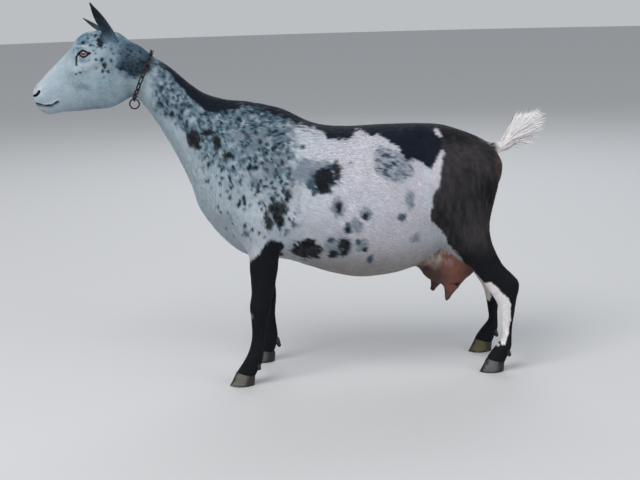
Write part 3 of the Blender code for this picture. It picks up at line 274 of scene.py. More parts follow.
EAR_ROOT = (-0.3250, -0.0215, 0.6560)
EAR_TIP = (-0.3645, -0.0600, 0.7290)
FAR_EAR_TIP = (-0.3880, 0.0600, 0.6980)
EAR_OPENS = (-0.80, -0.75, 0.0)
FAR_EAR_OPENS = (-0.57, 0.05, -0.82)
EAR_WIDTH = 0.031
EAR_BOW = 0.002
EAR_THICKNESS = 0.0022
EAR_NARROWEST = 0.0012
EAR_FOLD = 0.0006
EAR_STEPS = (46, 30)
# The leaf's roll at its root and at its tip, in degrees, and the share of its length where the first ends
EAR_ROLLS = (265, 90)
EAR_ROLL_END = 0.45

# Front and rear points of the coronet, where the horn begins
FORE_CORONET = ((-0.1290, 0.0275), (-0.0915, 0.0190))
HIND_CORONET = ((0.3560, 0.0270), (0.3935, 0.0185))
TOE_AHEAD = 0.0140
HEEL_AHEAD = 0.0040
HOOF_WIDTH = 0.0180
CLAW_GAP = 0.0016
RINGS_OF_GROWTH = 34
CLAW_LEVELS = 40
CLAW_SIDES = 56
SOLE_BEVEL = 0.955
# How far ahead of the coronet's rear point the horn's top ends
HEEL_TUCK = 0.0022
# The pale and the dark horn of each hoof
HORN = {
    "fore_left": ((0.135, 0.128, 0.108), (0.022, 0.021, 0.021)),
    "fore_right": ((0.085, 0.082, 0.075), (0.016, 0.016, 0.017)),
    "hind_left": ((0.110, 0.125, 0.118), (0.012, 0.015, 0.017)),
    "hind_right": ((0.110, 0.088, 0.042), (0.022, 0.017, 0.014)),
}
DEWCLAW_HORN = (0.014, 0.0125, 0.0125)
# The dewclaw from the coronet's rear point, and its tip from there: back, away from the other claw, up
DEWCLAW_AT = (0.0030, 0.0080, 0.0212)
DEWCLAW_REACH = (0.0040, 0.0022, -0.0095)
DEWCLAW_RADII = (0.0062, 0.0034)
DEWCLAW_SINK = 0.008

LINK_WIRE = 0.0028
LINK_BENDS = 16
LINK_TUBE = 14
STEEL_STOPS = ((0.42, (0.016, 0.016, 0.019, 1)), (0.72, (0.070, 0.068, 0.070, 1)))

BRUSH_LOCKS = 2700
BRUSH_CLUMPS = 150
BRUSH_LOCK_WIDTHS = (0.0008, 0.0018)
BRUSH_LOCK_HEIGHT = 0.0005
BRUSH_WAVE = 0.0011
BRUSH_SAG = 0.006
BRUSH_LOCK_STEPS = 7
# The brush grows from this x of the dock over this length
BRUSH_ROOTS = (0.402, 0.038)
# Random spreads of a lock's place in the fan and across it, its lean and its length
FAN_SPREAD = 0.050
ROW_SPREAD = 0.16
LEAN_SPREAD = 0.035
BRUSH_LENGTHS = (0.74, 1.08)
BRUSH_LENGTH = 0.061
BRUSH_MIDDLE_LONGER = 0.011
FAN_START = math.radians(58)
# The brush spreads from this steepest lean over the dock to this flattest one, and to either side
FAN_STEEP = math.radians(64)
FAN_FLAT = math.radians(9)
FAN_SIDEWAYS = 0.34

LASHES_PER_LID = 46
LASH_LENGTHS = (0.0030, 0.0046)
LASH_WIDTH = 0.00045
LASH_HEIGHT = 0.00022

# Planes across the body, each through a top and a bottom point of the side view
HEAD_CUT = ((-0.2850, 0.6480), (-0.3020, 0.5480))
NECK_CUT = ((-0.1500, 0.5600), (-0.2020, 0.3600))

# Finer forms of the limbs, as the forms above
LIMB_FORMS = (
    ("groove before the tendons", ((-0.0815, 0.115), (-0.0845, 0.085)), 0.0035, -0.0011),
    ("knee", ((-0.079, 0.150),), 0.0100, 0.0008),
    ("hollow over the hock", ((0.374, 0.224), (0.393, 0.198)), 0.0060, -0.0024),
    ("bone of the hock", ((0.398, 0.168),), 0.0080, 0.0012),
    ("groove of the hind cannon", ((0.4010, 0.125), (0.3985, 0.080)), 0.0035, -0.0011),
)
# The lids hug the eyeball at this height, with a crease over them
LID_THICKNESS = 0.0015
LID_CREASE = 0.0009
# Where the creases over and under the eye lie and how wide they are, in half openings
UPPER_CREASE = (1.62, 0.13)
LOWER_CREASE = (1.55, 0.12)
PIT_DEPTH = 0.0030

# The lie of the coat in the side view, with the length of the hair and the depth of the coat:
# x, z, way along x, way along z, length, depth
COAT_FIELD = (
    (-0.480, 0.560, 0.85, 0.40, 0.0026, 0.00020),
    (-0.465, 0.535, 1.00, -0.10, 0.0030, 0.00030),
    (-0.450, 0.595, 0.78, 0.62, 0.0034, 0.00040),
    (-0.415, 0.560, 1.00, 0.05, 0.0045, 0.00060),
    (-0.410, 0.630, 0.78, 0.62, 0.0045, 0.00060),
    (-0.370, 0.672, 0.95, 0.30, 0.0065, 0.00090),
    (-0.385, 0.605, 1.00, 0.10, 0.0048, 0.00070),
    (-0.360, 0.550, 1.00, -0.15, 0.0065, 0.00100),
    (-0.340, 0.610, 1.00, -0.20, 0.0065, 0.00100),
    (-0.310, 0.665, 0.85, -0.50, 0.0085, 0.00140),
    (-0.300, 0.580, 0.70, -0.70, 0.0090, 0.00150),
    (-0.250, 0.610, 0.70, -0.70, 0.0115, 0.00210),
    (-0.230, 0.520, 0.45, -0.90, 0.0105, 0.00200),
    (-0.180, 0.420, 0.15, -1.00, 0.0110, 0.00220),
    (-0.150, 0.510, 0.65, -0.75, 0.0110, 0.00210),
    (-0.150, 0.320, 0.45, -0.90, 0.0110, 0.00220),
    (-0.080, 0.530, 1.00, -0.12, 0.0120, 0.00220),
    (-0.080, 0.430, 0.60, -0.80, 0.0105, 0.00210),
    (-0.075, 0.330, 0.15, -1.00, 0.0100, 0.00200),
    (-0.080, 0.240, 0.00, -1.00, 0.0085, 0.00150),
    (-0.078, 0.140, 0.00, -1.00, 0.0062, 0.00110),
    (-0.090, 0.050, -0.15, -1.00, 0.0055, 0.00090),
    (-0.045, 0.140, 0.00, -1.00, 0.0062, 0.00110),
    (-0.050, 0.050, -0.15, -1.00, 0.0055, 0.00090),
    (0.010, 0.505, 1.00, -0.08, 0.0115, 0.00220),
    (0.010, 0.400, 0.85, -0.50, 0.0105, 0.00210),
    (0.010, 0.270, 0.90, -0.35, 0.0110, 0.00210),
    (0.100, 0.480, 1.00, -0.05, 0.0115, 0.00220),
    (0.110, 0.370, 0.85, -0.50, 0.0105, 0.00210),
    (0.110, 0.220, 1.00, -0.05, 0.0100, 0.00190),
    (0.200, 0.480, 1.00, -0.08, 0.0115, 0.00220),
    (0.200, 0.370, 0.75, -0.62, 0.0105, 0.00210),
    (0.210, 0.240, 0.90, 0.10, 0.0090, 0.00170),
    (0.290, 0.470, 0.95, -0.30, 0.0110, 0.00220),
    (0.300, 0.390, 0.45, -0.90, 0.0105, 0.00210),
    (0.300, 0.290, 0.15, -1.00, 0.0100, 0.00200),
    (0.365, 0.440, 0.85, -0.50, 0.0105, 0.00200),
    (0.385, 0.370, 0.00, -1.00, 0.0100, 0.00200),
    (0.335, 0.225, 0.35, -0.95, 0.0085, 0.00150),
    (0.395, 0.160, -0.10, -1.00, 0.0062, 0.00110),
    (0.395, 0.090, 0.00, -1.00, 0.0058, 0.00100),
    (0.380, 0.035, -0.20, -1.00, 0.0052, 0.00080),
    (0.435, 0.455, 0.60, 0.80, 0.0070, 0.00100),
)
FIELD_REACH = 0.032
EAR_HAIR = (0.0042, 0.00030)
UDDER_HAIR = (0.0035, 0.00015)
# No tuft grows nearer to the eye, in half openings, to the nostril and to the mouth than this
EYE_BARE = 1.12
NOSTRIL_BARE = 0.0034
MOUTH_BARE = 0.0030
TUFTS = 178000
MOST_TUFTS_IN_PIECE = 24900
# Where the pieces of the coat part: x, and the height of the tops of the legs
FACE_END = -0.395
SHOULDER_END = 0.0
FORE_LEG_END = 0.02
BARREL_END = 0.21
HIND_LEG_START = 0.300
LEG_TOP = 0.235
TUFT_WIDTH = 0.105
TUFT_NARROWEST = 0.00050
TUFT_WIDEST = 0.00125
TUFT_THICKNESS = 0.00028
ROOT_SINK = 0.0003
# Random spreads of a tuft's turn, length, lift and tone, and the painted shade at each of its corners: darker
# at the root, which lies under other tufts, and lighter at the tip
TUFT_TURN = 0.13
TUFT_LENGTHS = (0.72, 1.18)
TUFT_LIFTS = (0.50, 1.00)
TUFT_TONE = 0.075
TUFT_SHADES = (0.84, 0.84, 0.97, 0.97, 1.0, 1.05)
# Size of a tuft's patch in the unwrap
PATCH = 0.003
# Seeds of the random draws
COAT_SEED = 17
LOCK_SEED = 23
BRUSH_SEED = 29
LASH_SEED = 31

# Colours as linear light
WHITE = (0.535, 0.575, 0.635)
MILK = (0.585, 0.560, 0.625)
COOL = (0.320, 0.435, 0.500)
FACE_WITH_SHADE = (0.365, 0.455, 0.515)
# The head's pale blue-grey, darkened by painted shade for the shade the head lies in
HALO = (0.195, 0.240, 0.290)
GREY = (0.150, 0.230, 0.290)
BROW = (0.145, 0.280, 0.370)
SLATE = (0.043, 0.082, 0.122)
BLACK = (0.0060, 0.0075, 0.0100)
RUMP = (0.060, 0.052, 0.056)
TAN = (0.270, 0.235, 0.210)
PINK = (0.500, 0.270, 0.265)
CREAM = (0.600, 0.540, 0.480)
RED_SKIN = (0.165, 0.068, 0.052)
# Dark bare skin, which also serves as painted shade on the udder's rear
DARK_SKIN_AND_SHADE = (0.040, 0.027, 0.026)
TAIL_WHITE = (0.930, 0.890, 0.905)
# The black of the back's line, tinted blue as a painted reflection of the sky
BLACK_WITH_SKY_REFLECTION = (0.0048, 0.009375, 0.0190)
EAR_BLACK = (0.0156, 0.0195, 0.0260)
DEEP_SLATE = (0.0215, 0.041, 0.061)
CANNON_WHITE = (0.837, 0.801, 0.8145)
CALLUS_GREY = (0.200, 0.205, 0.195)
HOCK_CREAM = (0.720, 0.670, 0.600)
WARM_BROWN = (0.125, 0.078, 0.062)
# The eye, from its rim inward
EYE_BROWN = (0.060, 0.038, 0.030)
IRIS = (0.200, 0.140, 0.128)
IRIS_PALE = (0.330, 0.250, 0.245)
IRIS_DARK = (0.085, 0.052, 0.042)
IRIS_EDGE = (0.020, 0.014, 0.013)
PUPIL = (0.004, 0.004, 0.006)

# Whole numbers that scatter the cells of the noises
HASH_PRIMES = (374761393, 668265263, 1440662683)
HASH_SEED = 1274126177
HASH_STEPS = ((13, 1274126177), (16, 2246822519))

# These squeeze places along the lie of the hair, so that flecks and mottles run with it
HAIR_LEAN = np.array([[1.0, 0, 0.30], [0, 1.0, 0], [-0.45, 0, 0.62]])
FLECK_LEAN = np.array([[1.0, 0, 0.20], [0, 0.3, 0], [-0.34, 0, 0.78]])
MOTTLE_LEAN = np.array([[0.45, 0, 0], [0, 1.0, 0], [0.35, 0, 1.0]])
BACK_LEAN = np.array([0.16, 1.0, 1.0])
# Layers of small dark flecks on the roan: cell, share of cells with one, least and most radius in cells, seed
FLECK_LAYERS = (
    (0.0160, 0.74, 0.16, 0.30, 27),
    (0.0088, 0.66, 0.17, 0.37, 21),
)

# Marks of the left side: x, z, half length along x and z, colour, softness of the edge
HALOS = (
    (0.034, 0.409, 0.037, 0.023, HALO, 0.5),
    (0.010, 0.410, 0.019, 0.024, HALO, 0.5),
    (0.071, 0.345, 0.012, 0.018, HALO, 0.35),
    (0.121, 0.331, 0.012, 0.013, HALO, 0.35),
    (0.103, 0.311, 0.011, 0.013, HALO, 0.35),
    (0.112, 0.270, 0.012, 0.014, HALO, 0.35),
    (-0.054, 0.412, 0.010, 0.016, HALO, 0.6),
    (-0.029, 0.428, 0.009, 0.012, HALO, 0.5),
    (-0.089, 0.450, 0.010, 0.007, HALO, 0.5),
    (-0.069, 0.472, 0.015, 0.016, HALO, 0.5),
    (-0.108, 0.478, 0.015, 0.011, HALO, 0.5),
    (0.206, 0.352, 0.008, 0.018, HALO, 0.7),
    (0.215, 0.275, 0.010, 0.009, HALO, 0.8),
    (0.070, 0.270, 0.024, 0.021, HALO, 0.5),
)
CORES = (
    (0.046, 0.397, 0.022, 0.025, SLATE, 0.3),
    (0.045, 0.399, 0.0185, 0.019, BLACK, 0.25),
    (0.043, 0.383, 0.0125, 0.014, BLACK, 0.3),
    (0.072, 0.408, 0.0080, 0.017, BLACK, 0.3),
    (0.021, 0.385, 0.008, 0.010, SLATE, 0.4),
    (0.027, 0.371, 0.005, 0.008, SLATE, 0.4),
    (0.071, 0.345, 0.006, 0.010, BLACK, 0.45),
    (0.120, 0.327, 0.006, 0.006, BLACK, 0.5),
    (0.086, 0.304, 0.009, 0.010, SLATE, 0.4),
    (0.087, 0.303, 0.005, 0.006, BLACK, 0.5),
    (0.119, 0.261, 0.005, 0.005, BLACK, 0.5),
    (0.106, 0.278, 0.005, 0.006, SLATE, 0.5),
    (0.129, 0.241, 0.007, 0.009, SLATE, 0.4),
    (0.189, 0.320, 0.008, 0.008, SLATE, 0.6),
    (0.014, 0.259, 0.028, 0.020, BLACK, 0.12),
    (0.018, 0.276, 0.013, 0.009, BLACK, 0.2),
    (0.056, 0.280, 0.007, 0.008, SLATE, 0.4),
    (0.080, 0.272, 0.011, 0.014, BLACK, 0.35),
    (0.061, 0.252, 0.012, 0.008, BLACK, 0.35),
    (0.079, 0.256, 0.007, 0.008, BLACK, 0.35),
    (-0.028, 0.426, 0.004, 0.0045, BLACK, 0.5),
    (0.011, 0.453, 0.005, 0.0045, SLATE, 0.7),
    (-0.017, 0.406, 0.0032, 0.0032, BLACK, 0.5),
    (-0.062, 0.384, 0.0060, 0.0032, BLACK, 0.5),
    (-0.021, 0.366, 0.0065, 0.0100, BLACK, 0.35),
    (-0.042, 0.342, 0.019, 0.016, BLACK, 0.5),
    (-0.058, 0.317, 0.009, 0.017, BLACK, 0.5),
    (-0.039, 0.322, 0.010, 0.014, BLACK, 0.5),
    (-0.013, 0.312, 0.003, 0.010, SLATE, 0.6),
    (-0.189, 0.474, 0.012, 0.016, BLACK, 0.3),
    (-0.182, 0.460, 0.005, 0.006, BLACK, 0.4),
    (-0.147, 0.466, 0.008, 0.014, BLACK, 0.45),
    (-0.128, 0.444, 0.010, 0.0045, BLACK, 0.45),
    (-0.163, 0.485, 0.008, 0.006, BLACK, 0.45),
    (-0.091, 0.420, 0.0038, 0.0063, BLACK, 0.5),
    (-0.077, 0.419, 0.0058, 0.0050, BLACK, 0.45),
    (-0.057, 0.415, 0.0042, 0.0045, BLACK, 0.5),
    (-0.074, 0.483, 0.0037, 0.0053, BLACK, 0.5),
    (-0.067, 0.465, 0.0042, 0.0049, BLACK, 0.5),
    (-0.098, 0.484, 0.0034, 0.0031, BLACK, 0.5),
    (0.098, 0.423, 0.0032, 0.0027, HALO, 0.6),
    (-0.096, 0.136, 0.0035, 0.0080, HALO, 0.4),
)
# Marks of the right side, which the photo doesn't show
FAR_HALOS = (
    (0.060, 0.420, 0.030, 0.022, HALO, 0.5),
    (0.145, 0.372, 0.016, 0.013, HALO, 0.4),
    (0.100, 0.300, 0.013, 0.015, HALO, 0.4),
    (0.168, 0.305, 0.011, 0.012, HALO, 0.4),
    (-0.030, 0.400, 0.015, 0.013, HALO, 0.5),
    (-0.080, 0.455, 0.014, 0.012, HALO, 0.5),
    (0.020, 0.300, 0.024, 0.020, HALO, 0.5),
)
FAR_CORES = (
    (0.064, 0.416, 0.018, 0.014, BLACK, 0.3),
    (0.086, 0.432, 0.008, 0.008, BLACK, 0.4),
    (0.147, 0.370, 0.008, 0.006, BLACK, 0.5),
    (0.099, 0.298, 0.006, 0.008, BLACK, 0.5),
    (0.167, 0.303, 0.005, 0.005, SLATE, 0.5),
    (0.016, 0.296, 0.014, 0.012, BLACK, 0.35),
    (0.034, 0.262, 0.016, 0.011, BLACK, 0.3),
    (-0.050, 0.338, 0.014, 0.018, BLACK, 0.5),
    (-0.065, 0.312, 0.010, 0.014, BLACK, 0.5),
    (-0.150, 0.452, 0.011, 0.013, BLACK, 0.4),
    (-0.185, 0.500, 0.008, 0.010, BLACK, 0.4),
    (-0.031, 0.398, 0.005, 0.005, BLACK, 0.5),
)
HEAD_MARKS = (
    (-0.352, 0.657, 0.0068, 0.0095, BLACK, 0.35),
    (-0.3735, 0.664, 0.0028, 0.0026, BLACK, 0.6),
    (-0.382, 0.657, 0.0028, 0.0026, BLACK, 0.6),
    (-0.369, 0.652, 0.0028, 0.0026, BLACK, 0.6),
    (-0.360, 0.668, 0.0028, 0.0026, BLACK, 0.6),
    (-0.361, 0.626, 0.0027, 0.0032, BLACK, 0.5),
    (-0.350, 0.625, 0.0027, 0.0033, BLACK, 0.5),
    (-0.334, 0.623, 0.0027, 0.0036, SLATE, 0.5),
    (-0.346, 0.614, 0.0034, 0.0060, BLACK, 0.5),
    (-0.350, 0.604, 0.0027, 0.0035, BLACK, 0.5),
    (-0.340, 0.603, 0.0027, 0.0035, BLACK, 0.5),
    (-0.325, 0.611, 0.0028, 0.0027, SLATE, 0.5),
    (-0.397, 0.617, 0.0022, 0.0022, SLATE, 0.6),
    (-0.391, 0.603, 0.0028, 0.0020, SLATE, 0.7),
    (-0.399, 0.600, 0.0020, 0.0020, SLATE, 0.7),
)
# The right side of the head has only the mark below the ear and two of the cheek
FAR_HEAD_MARKS = HEAD_MARKS[:1] + HEAD_MARKS[5:9:2]
TEAR_STREAK = ((-0.3925, 0.6365), (-0.3965, 0.6305), (-0.3970, 0.6205))
TEAR_WIDTH = 0.0024

# Soft ovals of the side view: x, z, half length along x and z
HIP_FLAT = (0.315, 0.425, 0.040, 0.030)
THIGH_FLAT = (0.340, 0.285, 0.035, 0.045)
HIP_SPOT = (0.2715, 0.466, 0.0046, 0.0082)
MOTTLE = (0.176, 0.415, 0.040, 0.033)
CALLUS = (-0.0985, 0.136, 0.006, 0.0080)
WARM_RUMP = (0.3900, 0.392, 0.0160, 0.038)
PALE_RUMP = (0.3990, 0.396, 0.0060, 0.024)
ABOVE_EYE = (-0.387, 0.6510, 0.015, 0.0024)
UNDER_EYE = (-0.384, 0.6175, 0.013, 0.0045)
CHEEK = (-0.290, 0.622, 0.036, 0.034)
CHEEK_CORE = (-0.291, 0.610, 0.029, 0.016)
# A pale spot on the left hind pastern: its place and its reach along x, y and z
PASTERN_SPOT = (0.377, -0.080, 0.054)
PASTERN_SPOT_REACH = (0.0034, 0.02, 0.0030)
# How much further forward the right side's cheek patch lies
FAR_CHEEK_SHIFT = 0.006

# Edges of the large fields in the side view, as x and z
DORSAL_EDGE = (
    (-0.262, 0.640), (-0.249, 0.616), (-0.235, 0.600), (-0.220, 0.583), (-0.207, 0.567), (-0.196, 0.552),
    (-0.182, 0.537), (-0.165, 0.522), (-0.144, 0.519), (-0.117, 0.521), (-0.098, 0.527), (-0.075, 0.526),
    (-0.045, 0.514), (-0.019, 0.503), (0.011, 0.491), (0.040, 0.482), (0.053, 0.478), (0.058, 0.468),
    (0.071, 0.463), (0.101, 0.462), (0.112, 0.473), (0.130, 0.474), (0.139, 0.467), (0.167, 0.463),
    (0.176, 0.452), (0.190, 0.445), (0.197, 0.433), (0.209, 0.422), (0.231, 0.418), (0.240, 0.405),
    (0.252, 0.404), (0.259, 0.414), (0.268, 0.428), (0.280, 0.440),
)
THIGH_EDGE = (
    (0.317, 0.200), (0.317, 0.217), (0.297, 0.241), (0.280, 0.257), (0.275, 0.273),
    (0.263, 0.291), (0.249, 0.303), (0.246, 0.322), (0.249, 0.343), (0.254, 0.361),
    (0.263, 0.372), (0.270, 0.399), (0.274, 0.428),
)
THROAT_EDGE = (
    (-0.262, 0.526), (-0.241, 0.514), (-0.219, 0.498), (-0.201, 0.480), (-0.192, 0.455), (-0.180, 0.430),
    (-0.172, 0.358), (-0.125, 0.270),
)
COLLAR_EDGE = ((-0.2730, 0.560), (-0.2580, 0.605), (-0.2480, 0.640))
HIP_WEDGE = ((0.249, 0.385), (0.257, 0.412), (0.272, 0.434))
FORE_EDGE = (
    (-0.125, 0.225), (-0.094, 0.241), (-0.085, 0.255), (-0.075, 0.264), (-0.065, 0.279),
    (-0.054, 0.284), (-0.030, 0.272),
)
HIND_WHITE_FRONT = (
    (0.388, 0.057), (0.388, 0.075), (0.384, 0.104), (0.376, 0.135), (0.366, 0.147),
    (0.352, 0.174), (0.362, 0.180),
)
HIND_WHITE_REAR = (
    (0.390, 0.057), (0.398, 0.077), (0.402, 0.106), (0.401, 0.136), (0.397, 0.146),
    (0.385, 0.157), (0.377, 0.169), (0.362, 0.180),
)


def placed(name, data):
    """A new object of the scene with this data."""
    obj = bpy.data.objects.new(name, data)
    bpy.context.scene.collection.objects.link(obj)
    return obj


def mesh_object(name, points, faces):
    mesh = bpy.data.meshes.new(name)
    mesh.from_pydata([tuple(p) for p in points], [], faces)
    mesh.update()
    return placed(name, mesh)


def object_of(name, bm):
    """The object of a finished bmesh, which this frees."""
    mesh = bpy.data.meshes.new(name)
    bm.to_mesh(mesh)
    bm.free()
    return placed(name, mesh)


def apply_modifiers(obj):
    """Puts the evaluated shape in place of the mesh and its modifiers."""
    graph = bpy.context.evaluated_depsgraph_get()
    mesh = bpy.data.meshes.new_from_object(obj.evaluated_get(graph))
    old = obj.data
    obj.modifiers.clear()
    obj.data = mesh
    bpy.data.meshes.remove(old)
    return obj


def remove(*objects):
    for obj in objects:
        bpy.data.objects.remove(obj)


def joined(name, objects):
    """One object that holds the meshes of several."""
    bm = bmesh.new()
    for obj in objects:
        mesh = obj.data.copy()
        mesh.transform(obj.matrix_world)
        bm.from_mesh(mesh)
        bpy.data.meshes.remove(mesh)
    remove(*objects)
    return object_of(name, bm)


def values_of(items, what, wide, kind=float):
    flat = np.empty(len(items) * wide, kind)
    items.foreach_get(what, flat)
    return flat.reshape(-1, wide)


def points_of(obj):
    return values_of(obj.data.vertices, "co", 3)


def normals_of(obj):
    return values_of(obj.data.vertices, "normal", 3)


def edges_of(obj):
    return values_of(obj.data.edges, "vertices", 2, np.int32)


def triangles_of(obj):
    obj.data.calc_loop_triangles()
    return values_of(obj.data.loop_triangles, "vertices", 3, np.int32)


def set_points(obj, points):
    obj.data.vertices.foreach_set("co", np.asarray(points, float).ravel())
    obj.data.update()


def tree_of(obj):
    return BVHTree.FromObject(obj, bpy.context.evaluated_depsgraph_get())


def smooth_rows(rows, count):
    """Catmull-Rom curve through the rows, read at even steps of its length along the first four columns."""
    rows = np.asarray(rows, float)
    ends = np.vstack([2 * rows[0] - rows[1], rows, 2 * rows[-1] - rows[-2]])
    fine = []
    steps = np.linspace(0, 1, CURVE_STEPS, endpoint=False)[:, None]
    for a, b, c, d in zip(ends, ends[1:], ends[2:], ends[3:]):
        curve = (c - a) * steps + (2 * a - 5 * b + 4 * c - d) * steps**2 + (3 * b - a - 3 * c + d) * steps**3
        fine.append(b + 0.5 * curve)
    fine = np.vstack([*fine, rows[-1:]])
    middle = (fine[:, 0:2] + fine[:, 2:4]) / 2
    along = np.concatenate([[0], np.cumsum(np.linalg.norm(np.diff(middle, axis=0), axis=1) + 1e-9)])
    wanted = np.linspace(0, along[-1], count)
    return np.column_stack([np.interp(wanted, along, column) for column in fine.T])


def ring_faces(rings, sides):
    """Quads between rings of equal size, with a face on each end."""
    faces = []
    for i in range(rings - 1):
        for j in range(sides):
            k = (j + 1) % sides
            faces.append((i * sides + j, i * sides + k, (i + 1) * sides + k, (i + 1) * sides + j))
    faces.append(tuple(reversed(range(sides))))
    faces.append(tuple((rings - 1) * sides + j for j in range(sides)))
    return faces


def outward(obj):
    bm = bmesh.new()
    bm.from_mesh(obj.data)
    bmesh.ops.recalc_face_normals(bm, faces=bm.faces)
    if bm.calc_volume(signed=True) < 0:
        bmesh.ops.reverse_faces(bm, faces=bm.faces)
    bm.to_mesh(obj.data)
    bm.free()
    return obj


def loft(name, rows, rings, sides):
    """A closed form through rings, each of which spans two points and a half width to either side."""
    points = []
    angles = np.linspace(0, 2 * math.pi, sides, endpoint=False)
    for ax, az, bx, bz, half, widest, power_a, power_b, middle in smooth_rows(rows, rings):
        power = np.where(np.cos(angles) >= 0, power_a, power_b)
        reach = np.where(np.cos(angles) >= 0, 1 - widest, widest)
        height = widest + np.sign(np.cos(angles)) * reach * np.abs(np.cos(angles)) ** (2 / power)
        side = np.sign(np.sin(angles)) * np.abs(np.sin(angles)) ** (2 / power)
        x, z = bx + (ax - bx) * height, bz + (az - bz) * height
        points.append(np.column_stack([x, middle + half * side, z]))
    return outward(mesh_object(name, np.vstack(points), ring_faces(rings, sides)))


def swing(z, far):
    """How far back the right leg lies at this height."""
    return far * max(0.0, 1 - z / RIGHT_SWING_TOP)


def leg_rows(leg, side):
    """The leg's stations, as loft takes them."""
    stations, back, inward = LEGS[leg]
    rows = []
    for ax, az, bx, bz, half, out in stations:
        if side == RIGHT:
            ax += swing(az, back)
            bx += swing(bz, back)
            out -= swing((az + bz) / 2, inward)
        rows.append((ax, az, bx, bz, half, 0.5, LEG_POWER, LEG_POWER, side * out))
    return rows


def ellipsoid(name, centre, radii, lean=0.0, side=LEFT):
    """A ball stretched along the axes and leaned in the side view."""
    bm = bmesh.new()
    bmesh.ops.create_icosphere(bm, subdivisions=3, radius=1.0)
    turn = Matrix.Rotation(math.radians(lean), 4, "Y")
    place = Matrix.Translation((centre[0], -side * centre[1], centre[2]))
    bmesh.ops.transform(bm, matrix=place @ turn @ Matrix.Diagonal((*radii, 1.0)), verts=bm.verts)
    return object_of(name, bm)


def ball(name, centre, radius, detail):
    bm = bmesh.new()
    bmesh.ops.create_icosphere(bm, subdivisions=detail, radius=radius, matrix=Matrix.Translation(centre))
    return object_of(name, bm)


def distance_to_path(points, path):
    best = np.linalg.norm(points - np.asarray(path[0], float), axis=1)
    for a, b in zip(path, path[1:]):
        a, b = np.asarray(a, float), np.asarray(b, float)
        t = np.clip((points - a) @ (b - a) / ((b - a) @ (b - a)), 0, 1)
        best = np.minimum(best, np.linalg.norm(points - (a + t[:, None] * (b - a)), axis=1))
    return best


def raise_along(obj, path, width, rise):
    """Raises the surface along a path, or sinks it where the rise is negative."""
    points = points_of(obj)
    fall = np.exp(-((distance_to_path(points, path) / width) ** 2))
    set_points(obj, points + normals_of(obj) * (rise * fall)[:, None])


def on_side(tree, x, z, side=LEFT):
    """The point of the surface that the side view shows at this place."""
    hit = tree.ray_cast(Vector((x, side * 0.4, z)), Vector((0, -side, 0)))
    return hit[0]


def boolean(obj, other, operation, solver="EXACT"):
    cut = obj.modifiers.new(operation.lower(), "BOOLEAN")
    cut.operation = operation
    cut.object = other
    cut.solver = solver
    return apply_modifiers(obj)


def box_between(name, low, high, turn=0.0, about=(0, 0, 0)):
    """A box with these corners, turned in the side view about a point."""
    bm = bmesh.new()
    bmesh.ops.create_cube(bm, size=1.0)
    size = Vector(high) - Vector(low)
    place = Matrix.Translation((Vector(low) + Vector(high)) / 2) @ Matrix.Diagonal((*size, 1.0))
    spin = Matrix.Translation(about) @ Matrix.Rotation(turn, 4, "Y") @ Matrix.Translation(-Vector(about))
    bmesh.ops.transform(bm, matrix=spin @ place, verts=bm.verts)
    return object_of(name, bm)


def coronet(side, fore):
    """Front and rear points where the hoof wall begins."""
    front, rear = FORE_CORONET if fore else HIND_CORONET
    back = (RIGHT_FORE_BACK if fore else RIGHT_HIND_BACK) if side == RIGHT else 0.0
    return (front[0] + back, front[1]), (rear[0] + back, rear[1])


def foot_out(side, fore):
    """The middle of the foot, across the body."""
    stations, _, inward = LEGS["fore" if fore else "hind"]
    return side * (stations[-1][-1] - (inward if side == RIGHT else 0.0))


def remeshed(obj, voxel, smoothing):
    """One closed surface of small voxels, evened out some times."""
    cover = obj.modifiers.new("cover", "REMESH")
    cover.mode = "VOXEL"
    cover.voxel_size = voxel
    soften = obj.modifiers.new("soften", "SMOOTH")
    soften.factor = 0.5
    soften.iterations = smoothing
    return apply_modifiers(obj)


def relaxed(points, edges, weights, times):
    """Evens points out along the edges, by their weights."""
    near = (weights[edges] > 0).any(axis=1)
    a, b = edges[near].T
    count = np.maximum(np.bincount(a, minlength=len(points)) + np.bincount(b, minlength=len(points)), 1)
    points = points.copy()
    for _ in range(times):
        for k in range(3):
            column = points[:, k]
            total = np.bincount(a, column[b], len(points)) + np.bincount(b, column[a], len(points))
            points[:, k] = column + 0.5 * weights * (total / count - column)
    return points


def soften(obj, centre, radius, times):
    """Evens the surface out within a radius."""
    points = points_of(obj)
    distance = np.linalg.norm(points - np.asarray(centre), axis=1)
    set_points(obj, relaxed(points, edges_of(obj), np.clip(2 - 2 * distance / radius, 0, 1), times))


def sculpt(obj, blends, forms):
    """Evens the joints of the forms out, then raises or sinks each named form on both sides."""
    for x, out, z, radius, times in blends:
        for side in (LEFT, RIGHT):
            soften(obj, (x, side * out, z), radius, times)
    tree = tree_of(obj)
    for _, path, width, rise in forms:
        for side in (LEFT, RIGHT):
            raise_along(obj, [on_side(tree, x, z, side) for x, z in path], width, rise)


def refined(obj, chosen, cuts):
    """Divides the edges whose both ends are chosen."""
    bm = bmesh.new()
    bm.from_mesh(obj.data)
    edges = [e for e in bm.edges if chosen[e.verts[0].index] and chosen[e.verts[1].index]]
    bmesh.ops.subdivide_edges(bm, edges=edges, cuts=cuts, use_grid_fill=True)
    bm.to_mesh(obj.data)
    bm.free()
    obj.data.update()


def ramp(values, low, high):
    """0 below low, 1 above high, and smooth between."""
    t = np.clip((values - low) / (high - low), 0, 1)
    return t * t * (3 - 2 * t)


def fade(values, low, high):
    """1 below low, 0 above high, and smooth between."""
    return 1 - ramp(values, low, high)


def band(values, low, full, still, high):
    """1 from full to still, 0 outside low and high, and smooth between."""
    return ramp(values, low, full) * fade(values, still, high)


